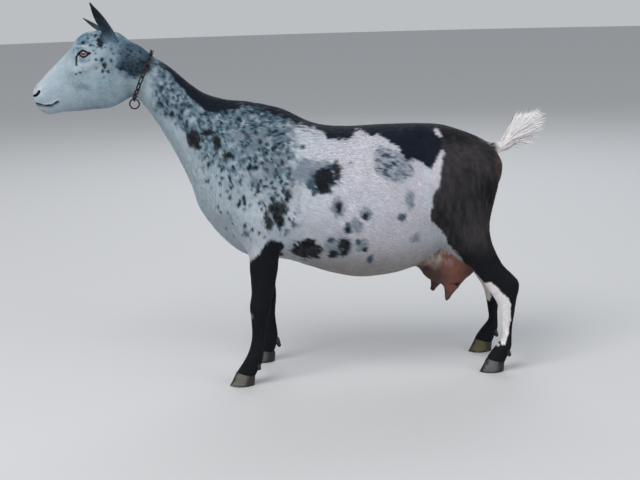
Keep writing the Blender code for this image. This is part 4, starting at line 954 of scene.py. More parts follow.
def hashed(cells, seed):
    """A number from 0 to 1 for each cell of whole numbers, scattered evenly."""
    value = sum(cells[..., k] * prime for k, prime in enumerate(HASH_PRIMES)) + seed * HASH_SEED
    value = (value & 0xFFFFFFFF).astype(np.uint64)
    for shift, prime in HASH_STEPS:
        value = ((value ^ (value >> np.uint64(shift))) * np.uint64(prime)) & np.uint64(0xFFFFFFFF)
    return ((value ^ (value >> np.uint64(15))) & np.uint64(0xFFFFFF)).astype(float) / 0x1000000


def noise(points, size, seed):
    """Smooth noise from -1 to 1 with lumps about this size."""
    place = points / size
    base = np.floor(place).astype(np.int64)
    part = place - base
    part = part * part * (3 - 2 * part)
    total = np.zeros(len(points))
    for corner in np.ndindex(2, 2, 2):
        weight = np.prod(np.where(np.array(corner) == 1, part, 1 - part), axis=1)
        total += weight * hashed(base + np.array(corner), seed)
    return 2 * total - 1


def flecks(points, size, seed, through=1.0):
    """Distance to the nearest of scattered points, and that point's own number.

    Below 1, through makes the flecks long in y.
    """
    place = points / size
    base = np.floor(place).astype(np.int64)
    best = np.full(len(points), 9.0)
    own = np.zeros(len(points))
    for offset in np.ndindex(3, 3, 3):
        cell = base + np.array(offset) - 1
        spot = cell + np.column_stack([hashed(cell, seed + k) for k in range(3)])
        distance = np.linalg.norm((place - spot) * (1, through, 1), axis=1)
        closer = distance < best
        best = np.where(closer, distance, best)
        own = np.where(closer, hashed(cell, seed + 9), own)
    return best, own


def plain(colour, points):
    return np.tile(np.array(colour), (len(points), 1))


def oval(x, z, place):
    """1 on the edge of an oval of the side view, and less inside it."""
    return ((x - place[0]) / place[2]) ** 2 + ((z - place[1]) / place[3]) ** 2


def mixed(colours, colour, amount):
    amount = np.clip(amount, 0, 1)[:, None]
    return colours * (1 - amount) + np.asarray(colour, float) * amount


def edge_at(path, values, along, across):
    """The path's column across, read at values of its column along, which rises or falls steadily."""
    path = np.asarray(path, float)
    order = np.argsort(path[:, along])
    return np.interp(values, path[order, along], path[order, across])


def side_forms(points):
    """The udder's own field, above 0 on it, from the same balls and teats as its form."""
    x, y, z = points.T
    best = np.full(len(points), -1.0)
    lean = math.radians(UDDER_LEAN)
    for side, (top, tip) in TEATS.items():
        dx, dy, dz = x - UDDER_CENTRE[0], y + side * UDDER_CENTRE[1], z - UDDER_CENTRE[2]
        along = dx * math.cos(lean) - dz * math.sin(lean)
        up = dx * math.sin(lean) + dz * math.cos(lean)
        reach = np.sqrt(sum((part / radius) ** 2 for part, radius in zip((along, dy, up), UDDER_RADII)))
        best = np.maximum(best, UDDER_REACH - reach)
        best = np.maximum(best, 1 - distance_to_path(points, (top, tip)) / TEAT_REACH)
    return best


def mark_field(points, x, z, marks, colours, seed, grain=0.1):
    """Marks with ragged edges. Grain lets pale hairs through them."""
    ragged = noise(points, 0.0045, seed) * 0.32 + noise(points, 0.011, seed + 3) * 0.26
    whole = 1 - grain * ramp(noise(points @ HAIR_LEAN, 0.0026, seed + 7), -0.5, 0.7)
    for *place, colour, soft in marks:
        reach = np.sqrt(oval(x, z, place))
        colours = mixed(colours, colour, whole * ramp(1 + ragged - reach, -soft * 0.6, soft * 0.6))
    return colours


def coat_colour(points):
    """The goat's markings at these places of her surface, as linear colours."""
    x, y, z = points.T.copy()
    left = y < 0
    fine = noise(points * (1, 1, 0.55), 0.0035, 11)
    rough = noise(points, 0.012, 12)
    broad = noise(points, 0.045, 13)
    # The right side has the same fields with other edges
    shift = np.where(left, 0.0, noise(points, 0.030, 14) * 0.010)
    fx, fz = x + shift, z + shift * 0.7

    colours = plain(WHITE, points)
    barrel = band(x, 0.00, 0.10, 0.22, 0.27) * fade(z, 0.46, 0.49)
    colours = mixed(colours, MILK, barrel * 0.75)
    colours = mixed(colours, COOL, fade(x, -0.24, 0.00) * 0.60 * ramp(z, 0.22, 0.34))
    colours = mixed(colours, COOL, 0.22 * ramp(broad, -0.2, 0.8))
    # painted shade: the lower side of the neck near the head is darker and cooler
    colours = mixed(colours, COOL, 0.55 * fade(x, -0.28, -0.20) * fade(z, 0.52, 0.56))
    belly = fade(z, 0.195, 0.285)
    colours = mixed(colours, TAN, belly * ramp(x, -0.03, 0.03) * 0.80)
    colours = mixed(colours, TAN, fade(z, 0.270, 0.350) * ramp(x, -0.03, 0.03) * 0.16)

    # Roan neck, shoulder and front ribs
    behind_throat = np.where(z > 0.27, x - edge_at(THROAT_EDGE, fz, 1, 0), 0.02)
    roan = ramp(behind_throat, -0.008, 0.022) * fade(x, -0.035, 0.012) * ramp(z, 0.27, 0.32)
    roan *= ramp(x, -0.31, -0.29)
    high = ramp(z - (0.405 - 0.42 * (x + 0.10)), -0.07, 0.08)
    hairs = ramp(noise(points @ HAIR_LEAN, 0.0026, 25), -0.6, 0.6)
    cool = roan * (0.30 + 0.60 * high) * ramp(rough + 1.1 * high, -0.9, 0.5)
    colours = mixed(colours, GREY, cool * (0.50 + 0.50 * hairs))
    dashes = noise(points @ HAIR_LEAN * (1, 0.4, 1), 0.0052, 23)
    dashes += 0.4 * noise(points @ HAIR_LEAN, 0.0024, 22)
    dense = roan * ramp(high + 0.25 * rough, 0.30, 1.0)
    colours = mixed(colours, WHITE, dense * ramp(-dashes, 0.15, 0.60) * 0.45)
    colours = mixed(colours, SLATE, dense * ramp(dashes, -0.10, 0.25) * 0.85)
    colours = mixed(colours, BLACK, dense * ramp(dashes, 0.18, 0.45) * 0.90)
    patchy = ramp(noise(points, 0.026, 24) + 0.9 * high, -1.0, 0.10)
    for cell, share, least, most, seed in FLECK_LAYERS:
        reach, own = flecks(points @ FLECK_LEAN, cell, seed, 0.4)
        reach = reach + 0.08 * fine
        chance = share * (0.45 + 0.75 * high) * patchy
        cells = np.floor(own * 4096).astype(np.int64)[:, None] * (1, 3, 7)
        radius = least + (most - least) * hashed(cells, seed)
        there = roan * ramp(chance - own, 0, 0.04)
        colours = mixed(colours, GREY, there * ramp(radius * 2.2 - reach, 0, 0.24) * (0.6 + 0.4 * hairs))
        colours = mixed(colours, SLATE, there * ramp(radius * 1.25 - reach, 0, 0.06))
        colours = mixed(colours, BLACK, there * ramp(radius * 1.05 - reach, 0, 0.05) * (0.80 + 0.20 * hairs))

    # The fine mottle in front of the hip
    mottle_way = points @ MOTTLE_LEAN
    reach, own = flecks(mottle_way, 0.0052, 31)
    place = oval(fx, fz + 0.35 * (fx - MOTTLE[0]), MOTTLE)
    mottle = ramp(1.0 - place + 0.35 * rough, -0.1, 0.45)
    colours = mixed(colours, HALO, mottle * (0.62 + 0.38 * fine))
    streaks = noise(mottle_way, 0.0042, 33) + 0.35 * noise(mottle_way, 0.0021, 34)
    colours = mixed(colours, SLATE, mottle * ramp(streaks, 0.0, 0.45) * 0.85)
    colours = mixed(colours, BLACK, mottle * ramp(streaks, 0.40, 0.75) * 0.85)
    colours = mixed(colours, SLATE, mottle * ramp(0.30 * (0.4 + own) - reach + 0.10, 0, 0.2) * 0.7)

    for side, halos, cores in ((left, HALOS, CORES), (~left, FAR_HALOS, FAR_CORES)):
        here = side & (x > -0.22) & (x < 0.26)
        part = mark_field(points[here], x[here], z[here], halos, colours[here], 41, 0.35)
        colours[here] = mark_field(points[here], x[here], z[here], cores, part, 43, 0.10)

    # The dark line of the back, its black tinted blue as a painted reflection of the sky, with white streaks
    # over the withers
    edge = edge_at(DORSAL_EDGE, fx, 0, 1)
    above = fz - edge + 0.0042 * rough + 0.0032 * fine
    dorsal = ramp(above, -0.0022, 0.0022) * ramp(x + 0.006 * rough, -0.255, -0.240)
    dorsal *= fade(x, 0.285, 0.290)
    streak = noise(points * BACK_LEAN, 0.0034, 51)
    withers = band(x, -0.135, -0.10, 0.02, 0.06)
    fringe = ramp(above, -0.020, -0.002) * withers
    colours = mixed(colours, SLATE, fringe * ramp(streak, -0.1, 0.35) * 0.85)
    pale = withers * ramp(streak, 0.18, 0.5) * fade(above, 0.003, 0.012)
    # painted reflection: the line's black carries a blue tint of the sky
    colours = mixed(colours, BLACK_WITH_SKY_REFLECTION, dorsal * (1 - 0.75 * pale))

    # Rump, thighs and hind legs
    front = edge_at(THIGH_EDGE, fz, 1, 0)
    rump = ramp(x - front + 0.0035 * rough + 0.0022 * fine, -0.0016, 0.0016)
    rump = np.where(z < 0.200, (x > 0.25) * ramp(np.abs(y), 0.040, 0.048), rump)
    lie = noise(points * (1, 1, 0.3), 0.0050, 53)
    flats = np.exp(-oval(x, z, HIP_FLAT)) + np.exp(-oval(x, z, THIGH_FLAT))
    brown = mixed(plain(RUMP, points), BLACK, 0.62 - 0.55 * flats + 0.30 * broad + 0.30 * lie)
    brown = mixed(brown, BLACK, 0.85 * ramp(z + 0.010 * rough, 0.440, 0.462))
    brown = mixed(brown, BLACK, fade(z, 0.215, 0.275))
    colours = mixed(colours, brown, rump)
    spot = oval(x + 0.3 * (z - HIP_SPOT[1]), z, HIP_SPOT)
    colours = mixed(colours, MILK, ramp(1.15 - spot + 0.3 * fine, 0, 0.4) * left)
    wedge_front = edge_at(HIP_WEDGE, z, 1, 0)
    wedge = ramp(x - wedge_front + 0.002 * rough, -0.0012, 0.0012) * (1 - rump) * ramp(z, 0.355, 0.375)
    colours = mixed(colours, MILK, wedge * (z < 0.436))

    # Fore legs
    edge = edge_at(FORE_EDGE, fx, 0, 1)
    limb = ramp(edge - z + 0.005 * rough + 0.004 * fine, -0.003, 0.003)
    behind = ramp(-0.031 - x + 0.005 * rough + 0.003 * fine, -0.003, 0.003)
    limb *= np.where(z > 0.225, behind * ramp(np.abs(y), 0.036, 0.046), x < np.where(z > 0.180, -0.01, 0.10))
    colours = mixed(colours, BLACK, limb)
    callus = ramp(1.1 - oval(x, z, CALLUS) + 0.3 * fine, 0, 0.8)
    colours = mixed(colours, CALLUS_GREY, callus * left * (z < 0.2) * 0.85)

    # White fronts of the hind cannons
    low_front, low_rear = edge_at(HIND_WHITE_FRONT, z, 1, 0), edge_at(HIND_WHITE_REAR, z, 1, 0)
    inside = np.minimum(x - low_front + 0.004, low_rear - x) + 0.0018 * fine + 0.0010 * rough
    outer = ramp(-y, 0.066, 0.071) + ramp(low_front + 0.010 - x, 0, 0.003)
    cannon = ramp(inside, -0.0010, 0.0010) * (z > 0.055) * (z < 0.180) * (x > 0.33) * np.clip(outer, 0, 1)
    colours = mixed(colours, CANNON_WHITE, cannon * left)
    hock = ramp(0.396 - x + 0.002 * fine, 0, 0.003) * fade(z, 0.166, 0.172)
    hock *= ramp(z + 0.002 * rough, 0.104, 0.108)
    colours = mixed(colours, HOCK_CREAM, hock * ~left * (x > 0.33) * (z < 0.2))
    dot = np.linalg.norm((points - PASTERN_SPOT) / PASTERN_SPOT_REACH, axis=1)
    colours = mixed(colours, MILK, ramp(1.2 - dot, 0, 0.3))

    # Udder, its fuzzy front and the bare skin, with painted shade at the udder's rear
    bag = side_forms(points)
    on_bag = ramp(bag, -0.01, 0.05) * (np.abs(y) < 0.085) * (z < UDDER_TOP)
    # painted shade: the udder darkens towards its rear
    skin = mixed(plain(RED_SKIN, points), DARK_SKIN_AND_SHADE, 0.55 * ramp(x + 0.010 * rough, 0.305, 0.345))
    forward = ramp(0.283 - x + 0.016 * rough + 0.008 * fine, -0.012, 0.020)
    skin = mixed(skin, DARK_SKIN_AND_SHADE, forward * fade(z + 0.006 * rough, 0.200, 0.226) * 0.85)
    skin = mixed(skin, DARK_SKIN_AND_SHADE, fade(z, 0.140, 0.162) * 0.55)
    skin = mixed(skin, TAN, forward * ramp(z + 0.006 * rough + 0.004 * fine, 0.200, 0.226) * 0.85)
    skin = mixed(skin, CREAM, forward * ramp(fine, -0.2, 0.8) * ramp(z, 0.216, 0.240) * 0.45)
    skin = mixed(skin, DARK_SKIN_AND_SHADE, forward * ramp(rough, 0.25, 0.7) * 0.6)
    skin = skin * (1 + 0.16 * rough[:, None] + 0.08 * fine[:, None])
    colours = mixed(colours, skin, on_bag)

    # Dock
    dock = ramp(x, 0.385, 0.400) * ramp(z - 0.415 - 0.4 * (x - 0.40), -0.004, 0.002) * (np.abs(y) < 0.02)
    beneath = fade(z - edge_at(DOCK, x, 2, 3), 0.002, 0.007)
    colours = mixed(colours, TAIL_WHITE, dock)
    colours = mixed(colours, PINK, dock * beneath * ramp(x, 0.404, 0.412))
    warm = ramp(1.2 - oval(x, z, WARM_RUMP) + 0.35 * rough, 0, 1.6) * (1 - dock) * (x > 0.36) * (z < 0.43)
    colours = mixed(colours, WARM_BROWN, warm * (0.65 + 0.25 * fine))
    pale = ramp(1.1 - oval(x, z, PALE_RUMP) + 0.5 * fine, 0, 1.0) * (1 - dock)
    pale *= fade(np.abs(y) + 0.003 * fine, 0.010, 0.022)
    colours = mixed(colours, CREAM, pale * 0.80 * (x > 0.38) * (z < 0.43))
    crest = edge_at(TRUNK, x, 0, 1) - z
    white_hairs = ramp(noise(points * (0.6, 1, 1), 0.0040, 55), 0.0, 0.4) * fade(crest, 0.003, 0.006)
    colours = mixed(colours, WHITE, white_hairs * band(x, 0.352, 0.360, 0.385, 0.390) * 0.8)
    seam = ramp(x, 0.388, 0.396) * fade(np.abs(y), 0.004, 0.010) * ramp(z, 0.345, 0.362) * (1 - dock)
    colours = mixed(colours, CREAM, seam * 0.8)
    colours = mixed(colours, PINK, seam * (z > 0.398) * 0.6)

    nape = (x < -0.235) & (z > 0.56)
    colours[nape] = cheek_patch(points[nape], colours[nape])
    head = ahead_of(HEAD_CUT, points)
    here = head > -0.012
    colours[here] = mixed(colours[here], head_colour(points[here]), ramp(head[here], -0.012, 0.004))
    return np.clip(colours * (1 + 0.05 * fine[:, None] + 0.05 * rough[:, None]), 0.004, 0.9)


def cheek_patch(points, colours):
    """The dark patch behind the cheek, which ends at the collar."""
    x, y, z = points.T
    fine = noise(points, 0.0030, 61)
    rough = noise(points, 0.010, 62)
    hairs = ramp(noise(points @ HAIR_LEAN, 0.0024, 67), -0.6, 0.6)
    cheek = oval(x + np.where(y < 0, 0.0, FAR_CHEEK_SHIFT), z, CHEEK)
    cheek = ramp(1.15 - cheek + 0.45 * rough, -0.2, 0.7) * ramp(x, -0.340, -0.315)
    cheek *= fade(x - edge_at(COLLAR_EDGE, z, 1, 0) + 0.003 * rough + 0.002 * fine, -0.008, 0.003)
    colours = mixed(colours, GREY, cheek)
    colours = mixed(colours, SLATE, cheek * (0.72 + 0.28 * hairs))
    deep = ramp(1.1 - oval(x, z, CHEEK_CORE) + 0.5 * rough + 0.3 * fine, -0.3, 0.6)
    deep *= np.minimum(cheek * 1.6, 1)
    colours = mixed(colours, DEEP_SLATE, deep * (0.80 + 0.20 * hairs))
    colours = mixed(colours, BLACK, deep * ramp(fine + 0.4 * rough, 0.0, 0.5) * 0.7)
    reach, own = flecks(points + (0.2, 0, 0), 0.0070, 64)
    return mixed(colours, BLACK, cheek * ramp(0.40 * (0.3 + own) - reach, -0.02, 0.1) * 0.8)


def head_colour(points):
    """The markings of the head, its lips, nostrils, eye rims and ears."""
    x, y, z = points.T
    left = y < 0
    fine = noise(points, 0.0030, 61)
    rough = noise(points, 0.010, 62)
    hairs = ramp(noise(points @ HAIR_LEAN, 0.0024, 67), -0.6, 0.6)
    # the head's base colour carries painted shade, darker than the body's pale coat
    colours = mixed(plain(FACE_WITH_SHADE, points), COOL, 0.50 * ramp(x, -0.44, -0.36) + 0.15 * rough)
    brow = ramp(z + 0.010 * rough, 0.640, 0.658) * ramp(x, -0.408, -0.385)
    colours = mixed(colours, BROW, brow * (0.88 + 0.12 * ramp(fine, -0.5, 0.5)))
    colours = mixed(colours, SLATE, brow * ramp(rough + 0.5 * fine, -0.6, 0.6) * 0.60)
    near_top = fade(edge_at(HEAD, x, 0, 1) - z, 0.002, 0.024)
    colours = mixed(colours, WHITE, near_top * fade(x, -0.440, -0.405) * 0.45)
    colours = mixed(colours, GREY, ramp(x, -0.375, -0.330) * ramp(z, 0.575, 0.605) * (0.30 + 0.40 * hairs))
    colours = mixed(colours, GREY, ramp(x, -0.340, -0.315) * ramp(z, 0.620, 0.650) * (0.5 + 0.3 * hairs))
    blotch = noise(points, 0.016, 69) + 0.4 * fine
    colours = mixed(colours, GREY, ramp(blotch, 0.05, 0.8) * ramp(x, -0.440, -0.385) * 0.50)
    colours = mixed(colours, WHITE, ramp(-blotch, 0.1, 0.8) * ramp(x, -0.470, -0.420) * 0.30)
    reach, own = flecks(points @ HAIR_LEAN * (1, 0.3, 1) + (0.3, 0, 0), 0.0080, 68)
    small = ramp(0.30 + 0.10 * own - reach, 0, 0.10) * ramp(0.45 - own, 0, 0.05)
    small *= ramp(x, -0.395, -0.360) * ramp(z, 0.575, 0.605)
    colours = mixed(colours, SLATE, small * 0.75)
    colours = mixed(colours, GREY, fade(z, 0.530, 0.556) * ramp(x, -0.44, -0.38) * 0.35)
    colours = mixed(colours, WHITE, ramp(1.2 - oval(x, z, ABOVE_EYE) + 0.3 * fine, 0, 1.0) * 0.6)
    colours = mixed(colours, WHITE, ramp(1.2 - oval(x, z, UNDER_EYE), 0, 0.9) * 0.55)
    reach, own = flecks(points + (0.4, 0, 0), 0.0105, 63)
    specks = ramp(0.24 * (0.4 + own) - reach, -0.02, 0.05) * ramp(x, -0.400, -0.380) * ramp(z, 0.585, 0.600)
    colours = mixed(colours, SLATE, specks * 0.7 * ramp(own, 0.3, 0.5))

    colours = cheek_patch(points, colours)
    jaw = ramp(x, -0.37, -0.34) * fade(z, 0.555, 0.590)
    colours = mixed(colours, GREY, jaw * ramp(rough, -0.2, 0.8) * 0.35)

    marks = mark_field(points, x, z, HEAD_MARKS, colours, 65)
    colours = np.where(left[:, None], marks, colours)
    far = mark_field(points, x + 0.004 * rough, z, FAR_HEAD_MARKS, colours, 66)
    colours = np.where(left[:, None], colours, far)

    # Nose, lips and mouth
    flat = np.column_stack([x, z])
    slit = distance_to_path(flat, NOSTRIL)
    nose = ramp(0.0056 - slit, 0, 0.0035) * (np.abs(y) > 0.001)
    colours = mixed(colours, PINK, nose * 0.30 * ramp(z, 0.561, 0.567))
    tip = ramp(-0.4765 - x + 0.001 * fine, 0, 0.006) * fade(np.abs(y) + 0.002 * rough, 0.007, 0.015)
    colours = mixed(colours, PINK, tip * 0.32 * band(z, 0.550, 0.558, 0.566, 0.578))
    # painted shade in the sunk slits of the nostrils
    colours = mixed(colours, SLATE, ramp(0.0038 - slit, 0, 0.0016) * 0.6)
    colours = mixed(colours, BLACK, ramp(0.0026 - slit, 0, 0.0010))
    line = distance_to_path(flat, MOUTH)
    over = z - edge_at(MOUTH, x, 0, 1)
    # white along the upper lip's rim: pale hair with a painted highlight
    lip_rim_and_highlight = ramp(0.0070 - line, 0, 0.004) * (over > 0) * ramp(x, -0.472, -0.455)
    colours = mixed(colours, WHITE, lip_rim_and_highlight * 0.7)
    lower_lip = ramp(0.0080 - line, 0, 0.004) * (over < 0) * fade(x, -0.455, -0.445)
    colours = mixed(colours, PINK, lower_lip * 0.40)
    # painted shadow beneath the upper lip, and painted shade in the groove between the lips
    colours = mixed(colours, SLATE, ramp(0.0056 - line + 0.001 * fine, 0, 0.003) * (over < 0.001) * 0.75)
    colours = mixed(colours, BLACK, ramp(0.0021 - line + 0.0006 * fine, 0, 0.0014))

    # Rims of the lids and the streak below the inner corner
    for side in (LEFT, RIGHT):
        rim = eye_reach(points, side)
        here = (y * side > 0) & (rim < 2.5)
        dark = np.where(here, ramp(1.70 - rim + 0.16 * fine, 0, 0.16), 0)
        colours = mixed(colours, BLACK, dark)
    streak = distance_to_path(flat, TEAR_STREAK)
    colours = mixed(colours, BLACK, ramp(TEAR_WIDTH - streak + 0.0006 * fine, 0, 0.0008))

    # Ears: black tips and blue-grey roots
    for root, tip, _ in ears():
        along, away = ear_place(points, root, tip)
        on_ear = ramp(0.021 - away, 0, 0.003) * ramp(along * np.linalg.norm(tip - root), 0.006, 0.014)
        along = np.clip(along, 0, 1)
        ear_colour = mixed(plain(EAR_BLACK, points), SLATE, 1.10 - 1.5 * along + 0.4 * rough)
        ear_colour = mixed(ear_colour, GREY, (0.9 - 3.2 * along + 0.3 * rough) * 0.8)
        colours = mixed(colours, ear_colour, on_ear * (y * root[1] > 0))
    return colours


# The centre and the axis of each eyeball, set when the skin has its form
eye_frames = {}


def ears():
    """Root, tip and the way it opens, for the left and the right ear."""
    near, far = np.array(EAR_ROOT), np.array(EAR_ROOT) * (1, -1, 1)
    return (near, np.array(EAR_TIP), EAR_OPENS), (far, np.array(FAR_EAR_TIP), FAR_EAR_OPENS)


def ear_place(points, root, tip):
    """How far along the ear points lie, from its root at 0 to its tip at 1, and how far off its line."""
    axis = tip - root
    along = (points - root) @ axis / (axis @ axis)
    away = np.linalg.norm(points - (root + np.clip(along, 0, 1)[:, None] * axis), axis=1)
    return along, away


def ahead_of(cut, points):
    """How far in front of a plane across the body points lie."""
    top, bottom = np.array(cut[0]), np.array(cut[1])
    normal = np.array([bottom[1] - top[1], top[0] - bottom[0]]) / np.linalg.norm(top - bottom)
    return (points[:, [0, 2]] - bottom) @ normal


def eye_axes(side):
    """The centre of the eyeball and its axes: ahead, up and out of the head."""
    centre, axis = eye_frames[side]
    forward = Vector((-1, 0, 0)) - axis * Vector((-1, 0, 0)).dot(axis)
    forward.normalize()
    up = axis.cross(forward)
    if up.z < 0:
        up.negate()
    return np.array(centre), np.array(forward), np.array(up), np.array(axis)


def eye_reach(points, side):
    """1 on the edge of the lids' almond, and more outside it."""
    centre, forward, up, axis = eye_axes(side)
    across = (points - centre) @ forward / (LID_OPENING[0] / 2)
    height = (points - centre) @ up / (LID_OPENING[1] / 2)
    bow = 1 - 0.35 * np.minimum(across**2, 1.2)
    reach = np.sqrt(across**2 + (height / np.maximum(bow, 0.4)) ** 2)
    return np.where((points - centre) @ axis > 0, reach, 9.0)


def udder_forms():
    """The two halves of the udder and their teats, as balls."""
    forms = []
    for side, (top, tip) in TEATS.items():
        forms.append(ellipsoid("half", UDDER_CENTRE, UDDER_RADII, UDDER_LEAN, side))
        for t in np.linspace(0, 1, TEAT_BALLS):
            size = TEAT_ROOT_FLARE * (1 - t) ** 1.4 + TEAT_TIP_RADIUS
            forms.append(ball("teat", Vector(top).lerp(Vector(tip), t), size, 3))
    return forms


def on_middle(rows):
    """Stations as loft takes them, on the middle plane."""
    return [(*row, 0.0) for row in rows]


def trunk_form():
    return loft("trunk", on_middle(TRUNK), TRUNK_RINGS, BODY_SIDES)


def head_form():
    return loft("skull", on_middle(HEAD), HEAD_RINGS, BODY_SIDES)


def leg_forms():
    forms = []
    for side in (LEFT, RIGHT):
        for leg, rings in LEG_RINGS.items():
            forms.append(loft(leg, leg_rows(leg, side), rings, LEG_SIDES))
    return forms


def project_head(skin):
    """Puts the fine points of the head on the head's own form, which the coarse voxels blunt."""
    fine = remeshed(joined("fine head", [head_form(), trunk_form()]), MUZZLE_VOXEL, 2)
    tree = tree_of(fine)
    points = points_of(skin)
    share = fade(points[:, 0], *HEAD_TAKEOVER)
    for i in np.flatnonzero(share > 0):
        spot = np.array(tree.find_nearest(Vector(points[i]))[0])
        points[i] += (spot - points[i]) * share[i]
    set_points(skin, points)
    remove(fine)


def ear(root, tip, opening):
    """A cupped leaf from root to tip that opens one way, rolled to a tube at its root."""
    long_steps, cross_steps = EAR_STEPS
    root, tip = np.array(root), np.array(tip)
    length = np.linalg.norm(tip - root)
    axis = (tip - root) / length
    face = np.array(opening) - axis * (np.array(opening) @ axis)
    face /= np.linalg.norm(face)
    across = np.cross(axis, face)
    middle = np.empty((long_steps + 1, cross_steps + 1, 3))
    for i in range(long_steps + 1):
        t = (i / long_steps) ** 0.9
        belly = math.sin(math.pi * min(t / 0.9, 1.0)) ** 0.8
        width = EAR_WIDTH * (0.48 + 0.52 * belly) * math.sqrt(max(1 - t**4.2, 0.0))
        width = max(width, EAR_NARROWEST)
        unrolled = min(t / EAR_ROLL_END, 1.0) ** 0.7
        span = math.radians(EAR_ROLLS[0] + (EAR_ROLLS[1] - EAR_ROLLS[0]) * unrolled)
        radius = width / (2 * math.sin(min(span, math.pi) / 2))
        centred = radius * (1 - math.sin(span / 2) / (span / 2))
        bow = EAR_BOW * math.sin(math.pi * t)
        angle = (np.linspace(0, 1, cross_steps + 1) - 0.5) * span
        # Two low folds run along the inside of the cup
        fold = EAR_FOLD * math.sin(math.pi * min(t * 1.2, 1.0)) * np.cos(angle / span * 14)
        point = root + axis * (length * t) - face * bow
        middle[i] = point + np.outer(radius * np.sin(angle), across)
        middle[i] += np.outer(radius * (1 - np.cos(angle)) - centred + fold, face)
    normal = np.cross(np.gradient(middle, axis=0), np.gradient(middle, axis=1))
    normal /= np.linalg.norm(normal, axis=2, keepdims=True)
    rim = 1 - 0.6 * np.abs(np.linspace(-1, 1, cross_steps + 1)) ** 3
    taper = 1 - 0.35 * np.linspace(0, 1, long_steps + 1) ** 2
    half = (EAR_THICKNESS / 2 * np.outer(taper, rim))[:, :, None]
    sheets = np.concatenate([middle + normal * half, middle - normal * half]).reshape(-1, 3)
    wide, count = cross_steps + 1, middle.shape[0] * middle.shape[1]
    faces = []
    for i in range(long_steps):
        for j in range(cross_steps):
            a, b, c, d = i * wide + j, i * wide + j + 1, (i + 1) * wide + j + 1, (i + 1) * wide + j
            faces += [(a, b, c), (a, c, d)]
            faces += [(count + a, count + c, count + b), (count + a, count + d, count + c)]
    border = list(range(wide))
    border += [i * wide + cross_steps for i in range(1, long_steps + 1)]
    border += [long_steps * wide + j for j in range(cross_steps - 1, -1, -1)]
    border += [i * wide for i in range(long_steps - 1, 0, -1)]
    for a, b in zip(border, border[1:] + border[:1]):
        faces.append((b, a, count + a, count + b))
    return outward(mesh_object("ear", sheets, faces))


def sculpt_limbs(skin):
    """The finer forms of the limbs, which lie further back on the right."""
    tree = tree_of(skin)
    for _, path, width, rise in LIMB_FORMS:
        for side in (LEFT, RIGHT):
            back = RIGHT_FORE_BACK if path[0][0] < 0.1 else RIGHT_HIND_BACK
            moved = [(x + (swing(z, back) if side == RIGHT else 0.0), z) for x, z in path]
            raise_along(skin, [on_side(tree, x, z, side) for x, z in moved], width, rise)


def make_lids(skin):
    """Wraps the skin over each eyeball and sinks the almond between the lids."""
    points = points_of(skin)
    for side in (LEFT, RIGHT):
        centre, _, up, _ = eye_axes(side)
        reach = eye_reach(points, side)
        from_ball = points - centre
        distance = np.linalg.norm(from_ball, axis=1)
        height = from_ball @ up
        hug = fade(reach, 1.35, 2.1)
        upper, lower = (np.exp(-(((reach - at) / wide) ** 2)) for at, wide in (UPPER_CREASE, LOWER_CREASE))
        crease = upper * ramp(height, -0.001, 0.004) * LID_CREASE
        crease += lower * ramp(-height, 0.0, 0.004) * LID_CREASE * 0.5
        wanted = EYE_RADIUS + LID_THICKNESS * (1 - 0.25 * ramp(reach, 1.0, 1.25))
        wanted = np.where(reach < 1, EYE_RADIUS - PIT_DEPTH, wanted)
        new = distance + (np.minimum(wanted, distance + 0.002) - distance) * hug - crease
        here = reach < 3
        points[here] = centre + from_ball[here] * (new / np.maximum(distance, 1e-6))[here, None]
    set_points(skin, points)


def make_nostrils(skin):
    """Sinks a slit on each side of the nose."""
    points = points_of(skin)
    tree = tree_of(skin)
    for side in (LEFT, RIGHT):
        inward = np.array(NOSTRIL_INWARD) * (1, -side, 1)
        path = [on_side(tree, x, z, side) for x, z in NOSTRIL]
        distance = distance_to_path(points, path)
        points += inward * (NOSTRIL_DEPTH * np.exp(-((distance / NOSTRIL_REACH) ** 4)))[:, None]
    set_points(skin, points)


